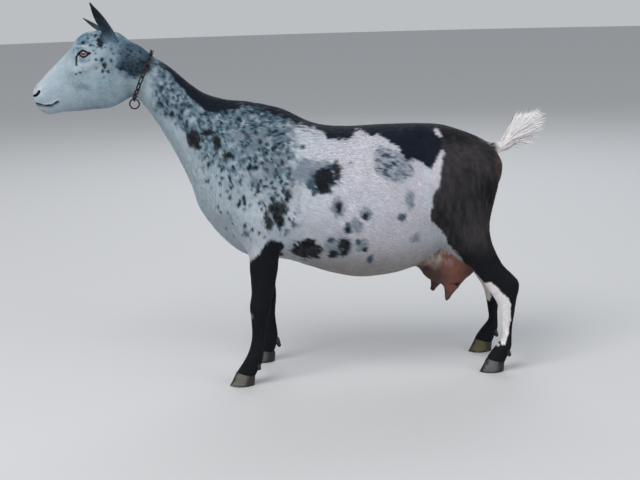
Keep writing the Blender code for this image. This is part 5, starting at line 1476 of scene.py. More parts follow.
def make_skin():
    """One surface of head, neck, trunk, legs, ears, dock and udder."""
    dock = loft("dock", [(*row, 0.5, 2.0, 2.0, 0.0) for row in DOCK], DOCK_RINGS, DOCK_SIDES)
    skin = joined("skin", [trunk_form(), head_form(), dock, *leg_forms(), *udder_forms()])
    remeshed(skin, SKIN_VOXEL, 4)
    sculpt(skin, BODY_BLENDS, TRUNK_FORMS)
    for side in (LEFT, RIGHT):
        raise_along(skin, [(PIN_BONE[0], side * PIN_BONE[1], PIN_BONE[2])], PIN_BONE_WIDTH, PIN_BONE_RISE)
    points = points_of(skin)
    refined(skin, ahead_of(HEAD_CUT, points) > FINE_HEAD, 2)
    points = points_of(skin)
    low = (points[:, 2] < FINE_LIMBS_TOP) | ((side_forms(points) > 0) & (points[:, 2] < FINE_UDDER_TOP))
    refined(skin, low & (points[:, 0] > -0.2), 1)
    points = points_of(skin)
    edges = edges_of(skin)
    weights = np.maximum(fade(points[:, 0], -0.310, -0.285), (points[:, 2] < 0.22) * 1.0)
    set_points(skin, relaxed(points, edges, weights, 4))
    project_head(skin)
    sculpt(skin, HEAD_BLENDS, HEAD_FORMS)
    tree = tree_of(skin)
    lip = tree.ray_cast(Vector((-1, 0, MOUTH_FRONT_HEIGHT)), Vector((1, 0, 0)))[0]
    for side in (LEFT, RIGHT):
        path = [lip, *(on_side(tree, x, z, side) for x, z in MOUTH)]
        raise_along(skin, path, MOUTH_WIDTH, -MOUTH_DEPTH)
        above = [point + Vector((0, 0, LIP_OVER_MOUTH)) for point in path[1:]]
        raise_along(skin, above, 0.0022, 0.0006)
    raise_along(skin, PHILTRUM, 0.0014, -0.0008)
    sculpt_limbs(skin)

    tree = tree_of(skin)
    for side in (LEFT, RIGHT):
        spot = on_side(tree, EYE_AT[0], EYE_AT[1], side)
        axis = Vector((EYE_AXIS[0], -side * EYE_AXIS[1], EYE_AXIS[2])).normalized()
        eye_frames[side] = (spot - axis * (EYE_RADIUS + EYE_COVER), axis)
    points = points_of(skin)
    near_eyes = np.minimum(eye_reach(points, LEFT), eye_reach(points, RIGHT)) < FINE_EYE
    slit = distance_to_path(points[:, [0, 2]], NOSTRIL) < FINE_NOSTRIL
    refined(skin, near_eyes | slit, 2)
    make_lids(skin)
    make_nostrils(skin)

    for fore in (True, False):
        for side in (LEFT, RIGHT):
            front, rear = coronet(side, fore)
            middle = foot_out(side, fore)
            slope = math.atan2(front[1] - rear[1], rear[0] - front[0])
            low = (front[0] - 0.03, middle - 0.035, front[1] - 0.1)
            high = (rear[0] + 0.03, middle + 0.035, front[1])
            below = box_between("below", low, high, slope, (front[0], middle, front[1]))
            boolean(skin, below, "DIFFERENCE", "MANIFOLD")
            remove(below)
    for root, tip, opening in ears():
        leaf = ear(root, tip, opening)
        boolean(skin, leaf, "UNION", "MANIFOLD")
        remove(leaf)
    points = points_of(skin)
    weights = np.zeros(len(points))
    for root, tip, _ in ears():
        start = root + (tip - root) * 0.05
        weights = np.maximum(weights, fade(np.linalg.norm(points - start, axis=1), 0.008, 0.017))
    set_points(skin, relaxed(points, edges_of(skin), weights, 10))
    return skin


def field_at(points):
    """The way of the hair, its length and the coat's depth at these places."""
    rows = np.array(COAT_FIELD)
    out = np.zeros((len(points), 4))
    total = np.zeros(len(points))
    for row in rows:
        distance = (points[:, 0] - row[0]) ** 2 + (points[:, 2] - row[1]) ** 2
        weight = np.exp(-distance / (2 * FIELD_REACH**2)) + 1e-7
        total += weight
        out += weight[:, None] * row[2:]
    out /= total[:, None]
    way = np.column_stack([out[:, 0], np.zeros(len(points)), out[:, 1]])
    length, depth = out[:, 2], out[:, 3]
    for root, tip, _ in ears():
        along, away = ear_place(points, root, tip)
        on_ear = ramp(0.022 - away, 0, 0.004) * ramp(along, 0.02, 0.14) * (points[:, 1] * root[1] > 0)
        way = mixed(way, (tip - root) / np.linalg.norm(tip - root), on_ear)
        length = length * (1 - on_ear) + EAR_HAIR[0] * on_ear
        depth = depth * (1 - on_ear) + EAR_HAIR[1] * on_ear
    bag = ramp(side_forms(points), -0.02, 0.06) * (points[:, 2] < UDDER_TOP)
    length = length * (1 - bag) + UDDER_HAIR[0] * bag
    depth = depth * (1 - bag) + UDDER_HAIR[1] * bag
    for side in (LEFT, RIGHT):
        bare = fade(eye_reach(points, side), 1.25, 2.0)
        length = length * (1 - 0.6 * bare)
        depth = depth * (1 - bare)
    slit = ramp(distance_to_path(points[:, [0, 2]], NOSTRIL), 0.003, 0.009)
    depth *= np.where(points[:, 0] < -0.46, slit, 1.0)
    return way, length, depth


def colour_layer(mesh, name, colours):
    layer = mesh.color_attributes.new(name, "FLOAT_COLOR", "POINT")
    whole = np.column_stack([colours, np.ones(len(colours))])
    layer.data.foreach_set("color", whole.astype(np.float32).ravel())
    mesh.color_attributes.active_color = layer


def mesh_from_arrays(name, points, triangles):
    mesh = bpy.data.meshes.new(name)
    mesh.vertices.add(len(points))
    mesh.vertices.foreach_set("co", np.asarray(points, np.float32).ravel())
    mesh.loops.add(len(triangles) * 3)
    mesh.loops.foreach_set("vertex_index", np.asarray(triangles, np.int32).ravel())
    mesh.polygons.add(len(triangles))
    mesh.polygons.foreach_set("loop_start", np.arange(len(triangles), dtype=np.int32) * 3)
    mesh.polygons.foreach_set("use_smooth", np.ones(len(triangles), bool))
    mesh.update()
    mesh.validate()
    return placed(name, mesh)


def unit(vectors):
    return vectors / np.maximum(np.linalg.norm(vectors, axis=1, keepdims=True), 1e-12)


def nearest_on(tree, points):
    """The nearest places of the surface and its normals there."""
    spots, normals = np.empty_like(points), np.empty_like(points)
    for i, point in enumerate(points):
        spot, normal, _, _ = tree.find_nearest(point)
        spots[i], normals[i] = spot, normal
    return spots, normals


# Corners of a tuft: two at the root, two sides and a top in its middle, and the tip
TUFT_FACES = np.array([
    (0, 3, 2), (0, 1, 3), (0, 2, 4), (0, 4, 1),
    (1, 4, 3), (2, 5, 4), (4, 5, 3), (3, 5, 2),
])
TUFT_CORNERS = np.array([(-0.3, -0.5), (0.3, -0.5), (-0.5, 0.0), (0.5, 0.0), (0.0, 0.0), (0.0, 0.5)])


def scatter(skin, rng):
    """Roots over the skin: more where the hair is short, none in the eyes or on bare skin."""
    points, normals, triangles = points_of(skin), normals_of(skin), triangles_of(skin)
    corners = points[triangles]
    area = np.linalg.norm(np.cross(corners[:, 1] - corners[:, 0], corners[:, 2] - corners[:, 0]), axis=1) / 2
    middle = corners.mean(axis=1)
    _, length, _ = field_at(middle)
    width = np.clip(length * TUFT_WIDTH, TUFT_NARROWEST, TUFT_WIDEST)
    density = 1 / (length * width) ** 0.80
    bare = np.minimum(eye_reach(middle, LEFT), eye_reach(middle, RIGHT)) < EYE_BARE
    flat = middle[:, [0, 2]]
    bare |= (distance_to_path(flat, NOSTRIL) < NOSTRIL_BARE) | (distance_to_path(flat, MOUTH) < MOUTH_BARE)
    bag = side_forms(middle)
    bare |= (bag > 0.02) & (middle[:, 2] < 0.255) & ((middle[:, 0] > 0.284) | (middle[:, 2] < 0.205))
    weight = area * density * ~bare
    chosen = np.searchsorted(np.cumsum(weight) / weight.sum(), rng.random(TUFTS))
    chosen = np.minimum(chosen, len(triangles) - 1)
    a, b = rng.random((2, TUFTS))
    fold = a + b > 1
    a, b = np.where(fold, 1 - a, a), np.where(fold, 1 - b, b)
    share = np.stack([1 - a - b, a, b], axis=1)[:, :, None]
    roots = (corners[chosen] * share).sum(axis=1)
    ups = unit((normals[triangles[chosen]] * share).sum(axis=1))
    return roots, ups


def make_tufts(skin, rng):
    """Points, normals and colours of the tufts, which lie along the skin."""
    roots, ups = scatter(skin, rng)
    way, length, depth = field_at(roots)
    way = unit(way - ups * (way * ups).sum(axis=1, keepdims=True))
    across = np.cross(ups, way)
    turn = rng.normal(0, TUFT_TURN, TUFTS) + 0.30 * noise(roots, 0.030, 71)
    way = way * np.cos(turn)[:, None] + across * np.sin(turn)[:, None]
    across = np.cross(ups, way)
    length = length * rng.uniform(*TUFT_LENGTHS, TUFTS)
    width = np.clip(length * TUFT_WIDTH, TUFT_NARROWEST, TUFT_WIDEST)
    lift = depth * rng.uniform(*TUFT_LIFTS, TUFTS) * np.where(roots[:, 2] < 0.22, 0.62, 1.0)
    tree = tree_of(skin)
    middles, middle_ups = nearest_on(tree, roots + way * (length * 0.45)[:, None])
    tips, tip_ups = nearest_on(tree, roots + way * length[:, None])
    middles += middle_ups * (lift * 0.50)[:, None]
    tips += tip_ups * lift[:, None]
    half = across * (width / 2)[:, None]
    thick = np.minimum(TUFT_THICKNESS, width * 0.35)[:, None]
    sink = ups * np.minimum(ROOT_SINK, depth * 0.5 + 0.0001)[:, None]
    points = np.stack([
        roots - half * 0.55 - sink, roots + half * 0.55 - sink,
        middles - half, middles + half, middles + middle_ups * thick, tips,
    ], axis=1)
    soft = ups * 0.9
    normals = np.stack([
        soft - half / width[:, None] * 0.5, soft + half / width[:, None] * 0.5,
        middle_ups - half / width[:, None] * 0.8, middle_ups + half / width[:, None] * 0.8,
        middle_ups, tip_ups + way * 0.15,
    ], axis=1)
    middle_tone = coat_colour(middles)
    root_tone = 0.5 * coat_colour(roots) + 0.5 * middle_tone
    tip_tone = 0.5 * middle_tone + 0.5 * coat_colour(tips)
    base = np.stack([root_tone, root_tone, middle_tone, middle_tone, middle_tone, tip_tone], axis=1)
    own = rng.normal(1.0, TUFT_TONE, TUFTS)[:, None, None]
    # painted shade: each tuft is darker at its root and lighter at its tip
    shade = np.array(TUFT_SHADES)[None, :, None]
    colours = np.clip(base * own * shade, 0.003, 0.92)
    return roots, points, unit(normals.reshape(-1, 3)).reshape(points.shape), colours


def path_frame(path, points):
    """How far along a path of the middle plane points lie, and the way they turn round it, from 0 to 1."""
    path = np.asarray(path, float)
    length = np.concatenate([[0], np.cumsum(np.linalg.norm(np.diff(path, axis=0), axis=1))])
    best = np.full(len(points), 9.0)
    along, turn = np.zeros(len(points)), np.zeros(len(points))
    for i, (a, b) in enumerate(zip(path, path[1:])):
        way = (b - a) / np.linalg.norm(b - a)
        t = np.clip((points - a) @ way, 0, length[i + 1] - length[i])
        off = points - (a + t[:, None] * way)
        distance = np.linalg.norm(off, axis=1)
        closer = distance < best
        up = np.cross(way, (0, 1, 0))
        angle = np.arctan2(off[:, 1], off @ up) / (2 * math.pi) + 0.5
        best = np.where(closer, distance, best)
        along = np.where(closer, (length[i] + t) / length[-1], along)
        turn = np.where(closer, angle, turn)
    return along, turn


def middle_line(rows):
    """The middles of stations as loft takes them."""
    return [((row[0] + row[2]) / 2, row[8], (row[1] + row[3]) / 2) for row in rows]


def coat_pieces(roots):
    """Name, chosen tufts and the path that each piece's unwrap winds round."""
    x, y, z = roots.T
    spine, skull = middle_line(on_middle(TRUNK)), middle_line(on_middle(HEAD))
    left = y < 0
    free = np.ones(len(roots), bool)
    pieces = []

    def take(name, chosen, path):
        nonlocal free
        pieces.append((name, chosen & free, path))
        free = free & ~chosen

    for (root, tip, _), name, side in zip(ears(), ("left", "right"), (left, ~left)):
        along, away = ear_place(roots, root, tip)
        take(f"coat_ear_{name}", (along > 0.1) & (away < 0.021) & side, (root, tip))
    take("coat_head_front", x < FACE_END, skull)
    take("coat_head", ahead_of(HEAD_CUT, roots) > 0, skull)
    take("coat_neck", ahead_of(NECK_CUT, roots) > 0, spine)
    low = z < LEG_TOP
    for name, side, where in (("left", LEFT, left), ("right", RIGHT, ~left)):
        take(f"coat_leg_front_{name}", low & where & (x < FORE_LEG_END), middle_line(leg_rows("fore", side)))
        take(f"coat_leg_hind_{name}", low & where & (x > HIND_LEG_START), middle_line(leg_rows("hind", side)))
    for name, where in (("left", left), ("right", ~left)):
        take(f"coat_shoulder_{name}", where & (x < SHOULDER_END), spine)
        take(f"coat_barrel_{name}", where & (x < BARREL_END), spine)
        take(f"coat_rump_{name}", where, spine)
    return pieces


def patch_layer(mesh, along, turn, corners, triangles):
    """The OFBake map: each tuft a small patch at its root's place on the skin's unwrap."""
    layer = mesh.uv_layers.new(name="OFBake")
    centre = np.column_stack([0.02 + 0.96 * along, 0.02 + 0.96 * turn])
    spots = centre[:, None, :] + corners * PATCH
    layer.data.foreach_set("uv", spots.reshape(-1, 2)[triangles.ravel()].astype(np.float32).ravel())


def lay_coat(skin, look):
    """The coat's pieces, each with its tufts, colours and unwrap."""
    rng = np.random.default_rng(COAT_SEED)
    roots, points, normals, colours = make_tufts(skin, rng)
    for name, chosen, path in coat_pieces(roots):
        chosen = np.flatnonzero(chosen)
        if len(chosen) > MOST_TUFTS_IN_PIECE:
            print("tufts left out of", name, len(chosen) - MOST_TUFTS_IN_PIECE)
            chosen = chosen[:MOST_TUFTS_IN_PIECE]
        count = len(chosen)
        triangles = (np.arange(count)[:, None, None] * 6 + TUFT_FACES[None]).reshape(-1, 3)
        piece = mesh_from_arrays(name, points[chosen].reshape(-1, 3), triangles)
        colour_layer(piece.data, "coat", colours[chosen].reshape(-1, 3))
        along, turn = path_frame(path, roots[chosen])
        patch_layer(piece.data, along, turn, TUFT_CORNERS[None], triangles)
        piece.data.normals_split_custom_set_from_vertices(normals[chosen].reshape(-1, 3))
        piece.data.materials.append(look)
        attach(piece, "root")
        print(name, count)


def long_locks(name, curves, width, thickness, colours, look, patches, facing=None):
    """Tapered blades of three sides along curves given as points of steps × 3."""
    count, steps = curves.shape[:2]
    ahead = np.gradient(curves, axis=1)
    ahead /= np.linalg.norm(ahead, axis=2, keepdims=True)
    rng = np.random.default_rng(LOCK_SEED)
    side = rng.normal(0, 1, (count, 1, 3)) + (0, 1.2, 0)
    side = side - ahead * (side * ahead).sum(axis=2, keepdims=True)
    side /= np.linalg.norm(side, axis=2, keepdims=True)
    top = np.cross(ahead, side)
    t = np.linspace(0, 1, steps)
    taper = (np.minimum(1, 0.35 + 3 * t) * np.sqrt(np.clip(1 - t**2.2, 0.0, 1)))[None, :, None]
    wide = np.asarray(width)[:, None, None] / 2 * taper
    high = thickness * taper
    rings = np.stack([curves - side * wide, curves + side * wide, curves + top * high], axis=2)[:, :-1]
    points = np.concatenate([rings.reshape(count, -1, 3), curves[:, -1:]], axis=1)
    per = points.shape[1]
    faces = [(0, 2, 1)]
    for i in range(steps - 2):
        for a, b in ((0, 1), (1, 2), (2, 0)):
            p, q = i * 3 + a, i * 3 + b
            faces += [(p, q, q + 3), (p, q + 3, p + 3)]
    last = (steps - 2) * 3
    faces += [(last, last + 1, per - 1), (last + 1, last + 2, per - 1), (last + 2, last, per - 1)]
    triangles = (np.arange(count)[:, None, None] * per + np.array(faces)[None]).reshape(-1, 3)
    piece = mesh_from_arrays(name, points.reshape(-1, 3), triangles)
    # painted shade: each lock is darker at its root and lighter towards its tip
    grade = np.append(np.repeat(t[:-1], 3), 1.0)[None, :, None]
    shaded = np.clip(colours[:, None, :] * (0.92 + 0.1 * grade), 0, 0.95)
    colour_layer(piece.data, "coat", shaded.reshape(-1, 3))
    corners = np.column_stack([np.tile([-0.5, 0.5, 0.0], steps)[: per], np.linspace(-0.5, 0.5, per)])
    patch_layer(piece.data, patches[0], patches[1], corners[None], triangles)
    if facing is not None:
        round_off = points - np.repeat(curves, 3, axis=1)[:, :per]
        far = np.maximum(np.linalg.norm(round_off, axis=2, keepdims=True), 1e-6)
        lit = facing[:, None, :] + 0.5 * round_off / far
        piece.data.normals_split_custom_set_from_vertices(unit(lit.reshape(-1, 3)))
    piece.data.materials.append(look)
    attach(piece, "root")
    return piece


def make_brush(look):
    """The white fan of long hair on the dock."""
    rng = np.random.default_rng(BRUSH_SEED)
    count = BRUSH_LOCKS
    clump = rng.integers(0, BRUSH_CLUMPS, count)
    fan_of = rng.random(BRUSH_CLUMPS) ** 1.5
    row_of = rng.uniform(-1, 1, BRUSH_CLUMPS)
    fan = np.clip(fan_of[clump] + rng.normal(0, FAN_SPREAD, count), 0, 1)
    row = np.clip(row_of[clump] + rng.normal(0, ROW_SPREAD, count), -1.1, 1.1)
    along = rng.random(count) ** 0.9 * (0.40 + 0.60 * ramp(fan, 0.0, 0.45))
    lean = FAN_STEEP + (FAN_FLAT - FAN_STEEP) * fan + rng.normal(0, LEAN_SPREAD, count)
    low_wisps = ramp(fan, 0.80, 1.0)
    lean -= low_wisps * rng.uniform(0, 0.30, count)
    length = BRUSH_LENGTH * (0.98 - 0.22 * low_wisps) + BRUSH_MIDDLE_LONGER * np.sin(math.pi * fan)
    length *= (1.10 - 0.30 * along) * rng.uniform(*BRUSH_LENGTHS, count)
    spread = FAN_SIDEWAYS * row * (0.55 + 0.45 * np.sin(math.pi * fan))
    x = BRUSH_ROOTS[0] + BRUSH_ROOTS[1] * along
    top, low, half = edge_at(DOCK, x, 0, 1), edge_at(DOCK, x, 2, 3), edge_at(DOCK, x, 0, 4)
    around = rng.uniform(-1, 1, count)
    bulge = np.sqrt(np.clip(1 - around**2, 0, 1)) * (1.6 * rng.random(count) - 0.6)
    root = np.column_stack([x, half * around * 0.9, (top + low) / 2 + (top - low) / 2 * bulge])
    start = np.full(count, FAN_START)
    first = np.column_stack([np.cos(start), 0.5 * spread, np.sin(start)])
    way = np.column_stack([np.cos(lean), spread, np.sin(lean)])
    middle = root + (first * 0.6 + way * 0.4) * (length * 0.45)[:, None]
    tip = root + way * length[:, None]
    tip[:, 2] -= BRUSH_SAG * rng.random(count) * (1 - fan) ** 2
    t = np.linspace(0, 1, BRUSH_LOCK_STEPS)[None, :, None]
    curves = root[:, None] * (1 - t) ** 2 + middle[:, None] * (2 * t * (1 - t)) + tip[:, None] * t**2
    wave = rng.normal(0, 1, (count, 1, 3))
    wave = wave * np.sin(t * math.pi * rng.uniform(0.8, 2.0, (count, 1, 1)))
    curves = curves + wave * BRUSH_WAVE * t
    colours = plain(TAIL_WHITE, root) * rng.normal(1, 0.05, (count, 1))
    width = rng.uniform(*BRUSH_LOCK_WIDTHS, count)
    facing = plain((0.1, 0.0, 0.45), root)
    facing[:, 1] = np.where(around + row < 0, -1.0, 1.0)
    patches = (along, (around + 1) / 2)
    brush = long_locks("tail_brush", curves, width, BRUSH_LOCK_HEIGHT, colours, look, patches, facing)
    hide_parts("tail")


def make_lashes(look):
    """A fringe of dark lashes along each upper lid."""
    rng = np.random.default_rng(LASH_SEED)
    curves = []
    for side in (LEFT, RIGHT):
        centre, forward, up, axis = eye_axes(side)
        for share in np.linspace(-0.80, 0.80, LASHES_PER_LID):
            across = share + rng.normal(0, 0.015)
            height = math.sqrt(max(1 - across**2, 0.05)) * (1 - 0.35 * across**2)
            flat = forward * across * LID_OPENING[0] / 2 + up * height * LID_OPENING[1] / 2 * 1.06
            out = math.sqrt(max((EYE_RADIUS + LID_THICKNESS * 0.7) ** 2 - flat @ flat, 1e-8))
            root = centre + flat + axis * out
            way = unit((axis * 1.0 + up * 0.15 + forward * 0.35 * across + rng.normal(0, 0.10, 3))[None])[0]
            reach = rng.uniform(*LASH_LENGTHS)
            t = np.linspace(0, 1, 5)[:, None]
            curves.append(root + way * reach * t + (up - axis * 0.5) * reach * 0.35 * t**2)
    curves = np.array(curves)
    spread = np.linspace(0.1, 0.9, len(curves))
    width = np.full(len(curves), LASH_WIDTH)
    lashes = long_locks("lashes", curves, width, LASH_HEIGHT, plain(BLACK, curves), look, (spread, spread))


def make_eye(name, side, look):
    """An eyeball with a low cornea, a brown iris and a level slot of a pupil."""
    centre, forward, up, axis = eye_axes(side)
    rings, sides = EYE_RINGS, EYE_SIDES
    points = []
    for i in range(1, rings):
        polar = math.pi * (i / rings) ** 1.35
        bulge = CORNEA_BULGE * math.exp(-((polar / 0.50) ** 2))
        angle = np.linspace(0, 2 * math.pi, sides, endpoint=False)
        reach = (EYE_RADIUS + bulge) * math.sin(polar)
        ring = np.outer(np.cos(angle) * reach, forward) + np.outer(np.sin(angle) * reach, up)
        points.append(centre + ring + axis * ((EYE_RADIUS + bulge) * math.cos(polar)))
    faces = ring_faces(rings - 1, sides)
    eye = outward(mesh_object(name, np.vstack(points), faces))
    place = points_of(eye) - centre
    across, height = place @ forward, place @ up
    reach = np.sqrt(across**2 + height**2)
    angle = np.arctan2(height, across)
    ray = noise(np.column_stack([np.cos(angle) * 9, np.sin(angle) * 9, reach * 300]), 0.8, 81)
    iris = ramp(IRIS_RADIUS - reach, 0, 0.0008)
    colours = mixed(plain(EYE_BROWN, place), IRIS, iris)
    colours = mixed(colours, IRIS_PALE, iris * ramp(ray, 0.0, 0.9) * 0.8)
    colours = mixed(colours, IRIS_DARK, iris * ramp(-ray, 0.2, 0.9) * 0.6)
    colours = mixed(colours, IRIS_EDGE, ramp(reach, 0.0050, 0.0066) * iris)
    slot = np.maximum(np.abs(across) - PUPIL_HALF_LENGTH, 0) ** 2
    slot = np.sqrt(slot + (height * (1 + 0.15 * np.sign(height))) ** 2)
    colours = mixed(colours, PUPIL, ramp(PUPIL_HALF_HEIGHT - slot, 0, 0.0004))
    colour_layer(eye.data, "coat", colours)
    eye.data.shade_smooth()
    eye.data.materials.append(look)
    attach(eye, "root")
    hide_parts(name)


def claw_mesh(name, front, rear, middle, outer, horn):
    """One half of a hoof, with growth rings: palest in front, dark at the toe, sole and heel."""
    toe_x = front[0] - TOE_AHEAD
    heel_x = rear[0] - HEEL_AHEAD
    levels = np.concatenate([[0.0, 0.0], np.linspace(0.03, 1.0, CLAW_LEVELS)])
    sides = CLAW_SIDES
    rings, alongs, heights = [], [], []
    for n, level in enumerate(levels):
        ring = []
        bevel = SOLE_BEVEL if n == 0 else 1.0
        ridge = 1 + 0.010 * math.sin(level * RINGS_OF_GROWTH)
        ridge += 0.012 * math.exp(-(((level - 0.93) / 0.05) ** 2))
        for j in range(sides):
            angle = 2 * math.pi * j / sides
            along = 0.5 - 0.5 * math.cos(angle)
            along = 0.5 + (along - 0.5) * bevel
            top_x = front[0] + (rear[0] - HEEL_TUCK - front[0]) * along
            top_z = front[1] + (rear[1] - front[1]) * along - 0.00045
            low_x = toe_x + (heel_x - toe_x) * along
            reach = math.sin(angle)
            round_out = math.sin(math.pi * min(along * 1.15 + 0.06, 0.5)) ** 0.55
            round_out *= 1 - (0.12 + 0.16 * level) * max(0.0, (along - 0.45) / 0.55) ** 1.5
            bulge = HOOF_WIDTH * (0.88 - 0.10 * level) * round_out * bevel * ridge
            y = CLAW_GAP / 2 + (bulge * reach if reach > 0 else 0.0)
            height = max(top_z * level, 0.0 if n == 0 else 0.0006)
            ring.append((low_x + (top_x - low_x) * level**0.9, middle + outer * y, height))
            alongs.append(along)
            heights.append(level)
        rings.append(ring)
    points = [p for ring in rings for p in ring]
    piece = mesh_object(name, points, ring_faces(len(levels), sides))
    place, alongs, heights = np.array(points), np.array(alongs), np.array(heights)
    blur = 0.10 * noise(place, 0.006, 91)
    pale = band(alongs + blur, 0.03, 0.16, 0.44, 0.72) * ramp(heights + blur, 0.02, 0.22)
    tone = 0.86 + 0.08 * np.sin(heights * RINGS_OF_GROWTH) + 1.6 * blur
    colours = mixed(plain(horn[1], place), horn[0], pale * np.clip(tone, 0.3, 1))
    colour_layer(piece.data, "coat", colours)
    return outward(piece)


def make_feet():
    """The horn of each hoof's two claws and of its dewclaws."""
    look = horn_look()
    for fore in (True, False):
        for side in (LEFT, RIGHT):
            front, rear = coronet(side, fore)
            middle = foot_out(side, fore)
            leg = ("fore" if fore else "hind") + ("_left" if side == LEFT else "_right")
            for outer, place in ((side, "outer"), (-side, "inner")):
                node = f"claw_{leg}_{place}"
                piece = claw_mesh("horn_" + node, front, rear, middle, outer, HORN[leg])
                finish_piece(piece, look, "hoof_horn", node)
                node = f"dewclaw_{leg}_{place}"
                piece = dewclaw_mesh("horn_" + node, rear, middle, outer)
                finish_piece(piece, look, "hoof_horn", node)


def dewclaw_mesh(name, rear, middle, outer):
    """A blunt leaning cone behind and above the hoof."""
    way_out = Vector((1, outer, 1))
    root = Vector((rear[0], middle, rear[1])) + Vector(DEWCLAW_AT) * way_out
    tip = root + Vector(DEWCLAW_REACH) * way_out
    axis = (tip - root).normalized()
    start = root - axis * DEWCLAW_SINK
    side = axis.orthogonal().normalized()
    up = axis.cross(side)
    thick, thin = DEWCLAW_RADII
    steps, sides = 22, 28
    points = []
    for i in range(steps):
        t = i / (steps - 1)
        tip_round = math.sqrt(max(1 - max((t - 0.80) / 0.205, 0.0) ** 2, 0.0))
        root_round = math.sqrt(min(0.02 + t / 0.30, 1.0))
        radius = (thick + (thin - thick) * t) * tip_round * root_round * (1 + 0.02 * math.sin(t * 40))
        for j in range(sides):
            angle = 2 * math.pi * j / sides
            points.append(start.lerp(tip, t) + (side * math.cos(angle) + up * math.sin(angle)) * radius)
    piece = mesh_object(name, points, ring_faces(steps, sides))
    colour_layer(piece.data, "coat", plain(DEWCLAW_HORN, points))
    return outward(piece)


def finish_piece(piece, look, slot, *nodes):
    """Look, smooth faces with sharp edges, and what the piece stands for."""
    piece.data.shade_smooth()
    piece.data.set_sharp_from_angle(angle=math.radians(50))
    piece.data.materials.append(look)
    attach(piece, "root")
    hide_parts(*nodes)


def wire_loop(centre, ahead, across, long, wide, wire):
    """A closed oval of round wire."""
    bends, tube = LINK_BENDS, LINK_TUBE
    straight, radius = (long - wide) / 2, (wide - wire) / 2
    normal = np.cross(ahead, across)
    middle, outs = [], []
    for end in (1, -1):
        for i in range(bends + 1):
            angle = math.pi * (i / bends - 0.5)
            out = ahead * end * math.cos(angle) + across * end * math.sin(angle)
            middle.append(centre + ahead * end * straight + out * radius)
            outs.append(out)
    points = []
    for spot, out in zip(middle, outs):
        for j in range(tube):
            turn = 2 * math.pi * j / tube
            points.append(spot + out * (wire / 2 * math.cos(turn)) + normal * (wire / 2 * math.sin(turn)))
    rings = len(middle)
    faces = []
    for i in range(rings):
        for j in range(tube):
            k, n = (j + 1) % tube, (i + 1) % rings
            faces.append((i * tube + j, i * tube + k, n * tube + k, n * tube + j))
    return points, faces


def make_collar(look):
    """Smooth links of wire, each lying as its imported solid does."""
    for name in sorted(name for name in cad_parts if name.startswith("collar_")):
        corners = points_of(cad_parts[name])
        _, axes = np.linalg.eigh(np.cov((corners - corners.mean(axis=0)).T))
        turned = corners @ axes
        centre = axes @ (turned.max(axis=0) + turned.min(axis=0)) / 2
        _, wide, long = np.ptp(turned, axis=0)
        points, faces = wire_loop(centre, axes[:, 2], axes[:, 1], long, wide, LINK_WIRE)
        piece = outward(mesh_object("steel_" + name, points, faces))
        finish_piece(piece, look, "collar_steel", name)


def shader_of(name, values):
    """A new material with these values on its shader, its nodes, its links and the shader."""
    made = bpy.data.materials.new(name)
    made.use_nodes = True
    shader = made.node_tree.nodes["Principled BSDF"]
    for socket, value in values.items():
        shader.inputs[socket].default_value = value
    return made, made.node_tree.nodes, made.node_tree.links, shader


def noise_node(nodes, links, source, scale, detail):
    made = nodes.new("ShaderNodeTexNoise")
    made.inputs["Scale"].default_value = scale
    made.inputs["Detail"].default_value = detail
    links.new(source, made.inputs["Vector"])
    return made.outputs["Fac"]


def stretched(nodes, links, scale):
    place = nodes.new("ShaderNodeTexCoord")
    mapping = nodes.new("ShaderNodeMapping")
    mapping.inputs["Scale"].default_value = scale
    links.new(place.outputs["Object"], mapping.inputs["Vector"])
    return mapping.outputs["Vector"]


def varied(nodes, links, colour, factor, low, high):
    """Multiplies a colour by a number from low to high that follows the factor."""
    span = nodes.new("ShaderNodeMapRange")
    span.inputs["To Min"].default_value = low
    span.inputs["To Max"].default_value = high
    links.new(factor, span.inputs["Value"])
    scale = nodes.new("ShaderNodeVectorMath")
    scale.operation = "SCALE"
    links.new(colour, scale.inputs[0])
    links.new(span.outputs["Result"], scale.inputs["Scale"])
    return scale.outputs["Vector"]


def bumped(nodes, links, shader, height, strength, distance):
    bump = nodes.new("ShaderNodeBump")
    bump.inputs["Strength"].default_value = strength
    bump.inputs["Distance"].default_value = distance
    links.new(height, bump.inputs["Height"])
    links.new(bump.outputs["Normal"], shader.inputs["Normal"])


def attribute_colour(nodes):
    made = nodes.new("ShaderNodeAttribute")
    made.attribute_name = "coat"
    return made.outputs["Color"]


def coat_look(name, roughness, sheen, bump):
    """Hair: the marking colours, varied from hair to hair, with a low sheen."""
    made, nodes, links, shader = shader_of(name, {
        "Roughness": roughness,
        "Specular IOR Level": 0.14,
        "Sheen Weight": sheen,
        "Sheen Roughness": 0.45,
    })
    fine = noise_node(nodes, links, stretched(nodes, links, (1, 1, 1)), 420, 3)
    links.new(varied(nodes, links, attribute_colour(nodes), fine, 0.80, 1.20), shader.inputs["Base Color"])
    if bump:
        streaks = noise_node(nodes, links, stretched(nodes, links, (0.35, 1, 0.55)), 700, 2)
        bumped(nodes, links, shader, streaks, 0.35, 0.0006)
    return made


def eye_look():
    """A wet ball in its own colours."""
    made, nodes, links, shader = shader_of(
        "wet eye", {"Roughness": 0.12, "Coat Weight": 1.0, "Coat Roughness": 0.02}
    )
    fine = noise_node(nodes, links, stretched(nodes, links, (1, 1, 1)), 900, 2)
    links.new(varied(nodes, links, attribute_colour(nodes), fine, 0.9, 1.1), shader.inputs["Base Color"])
    return made


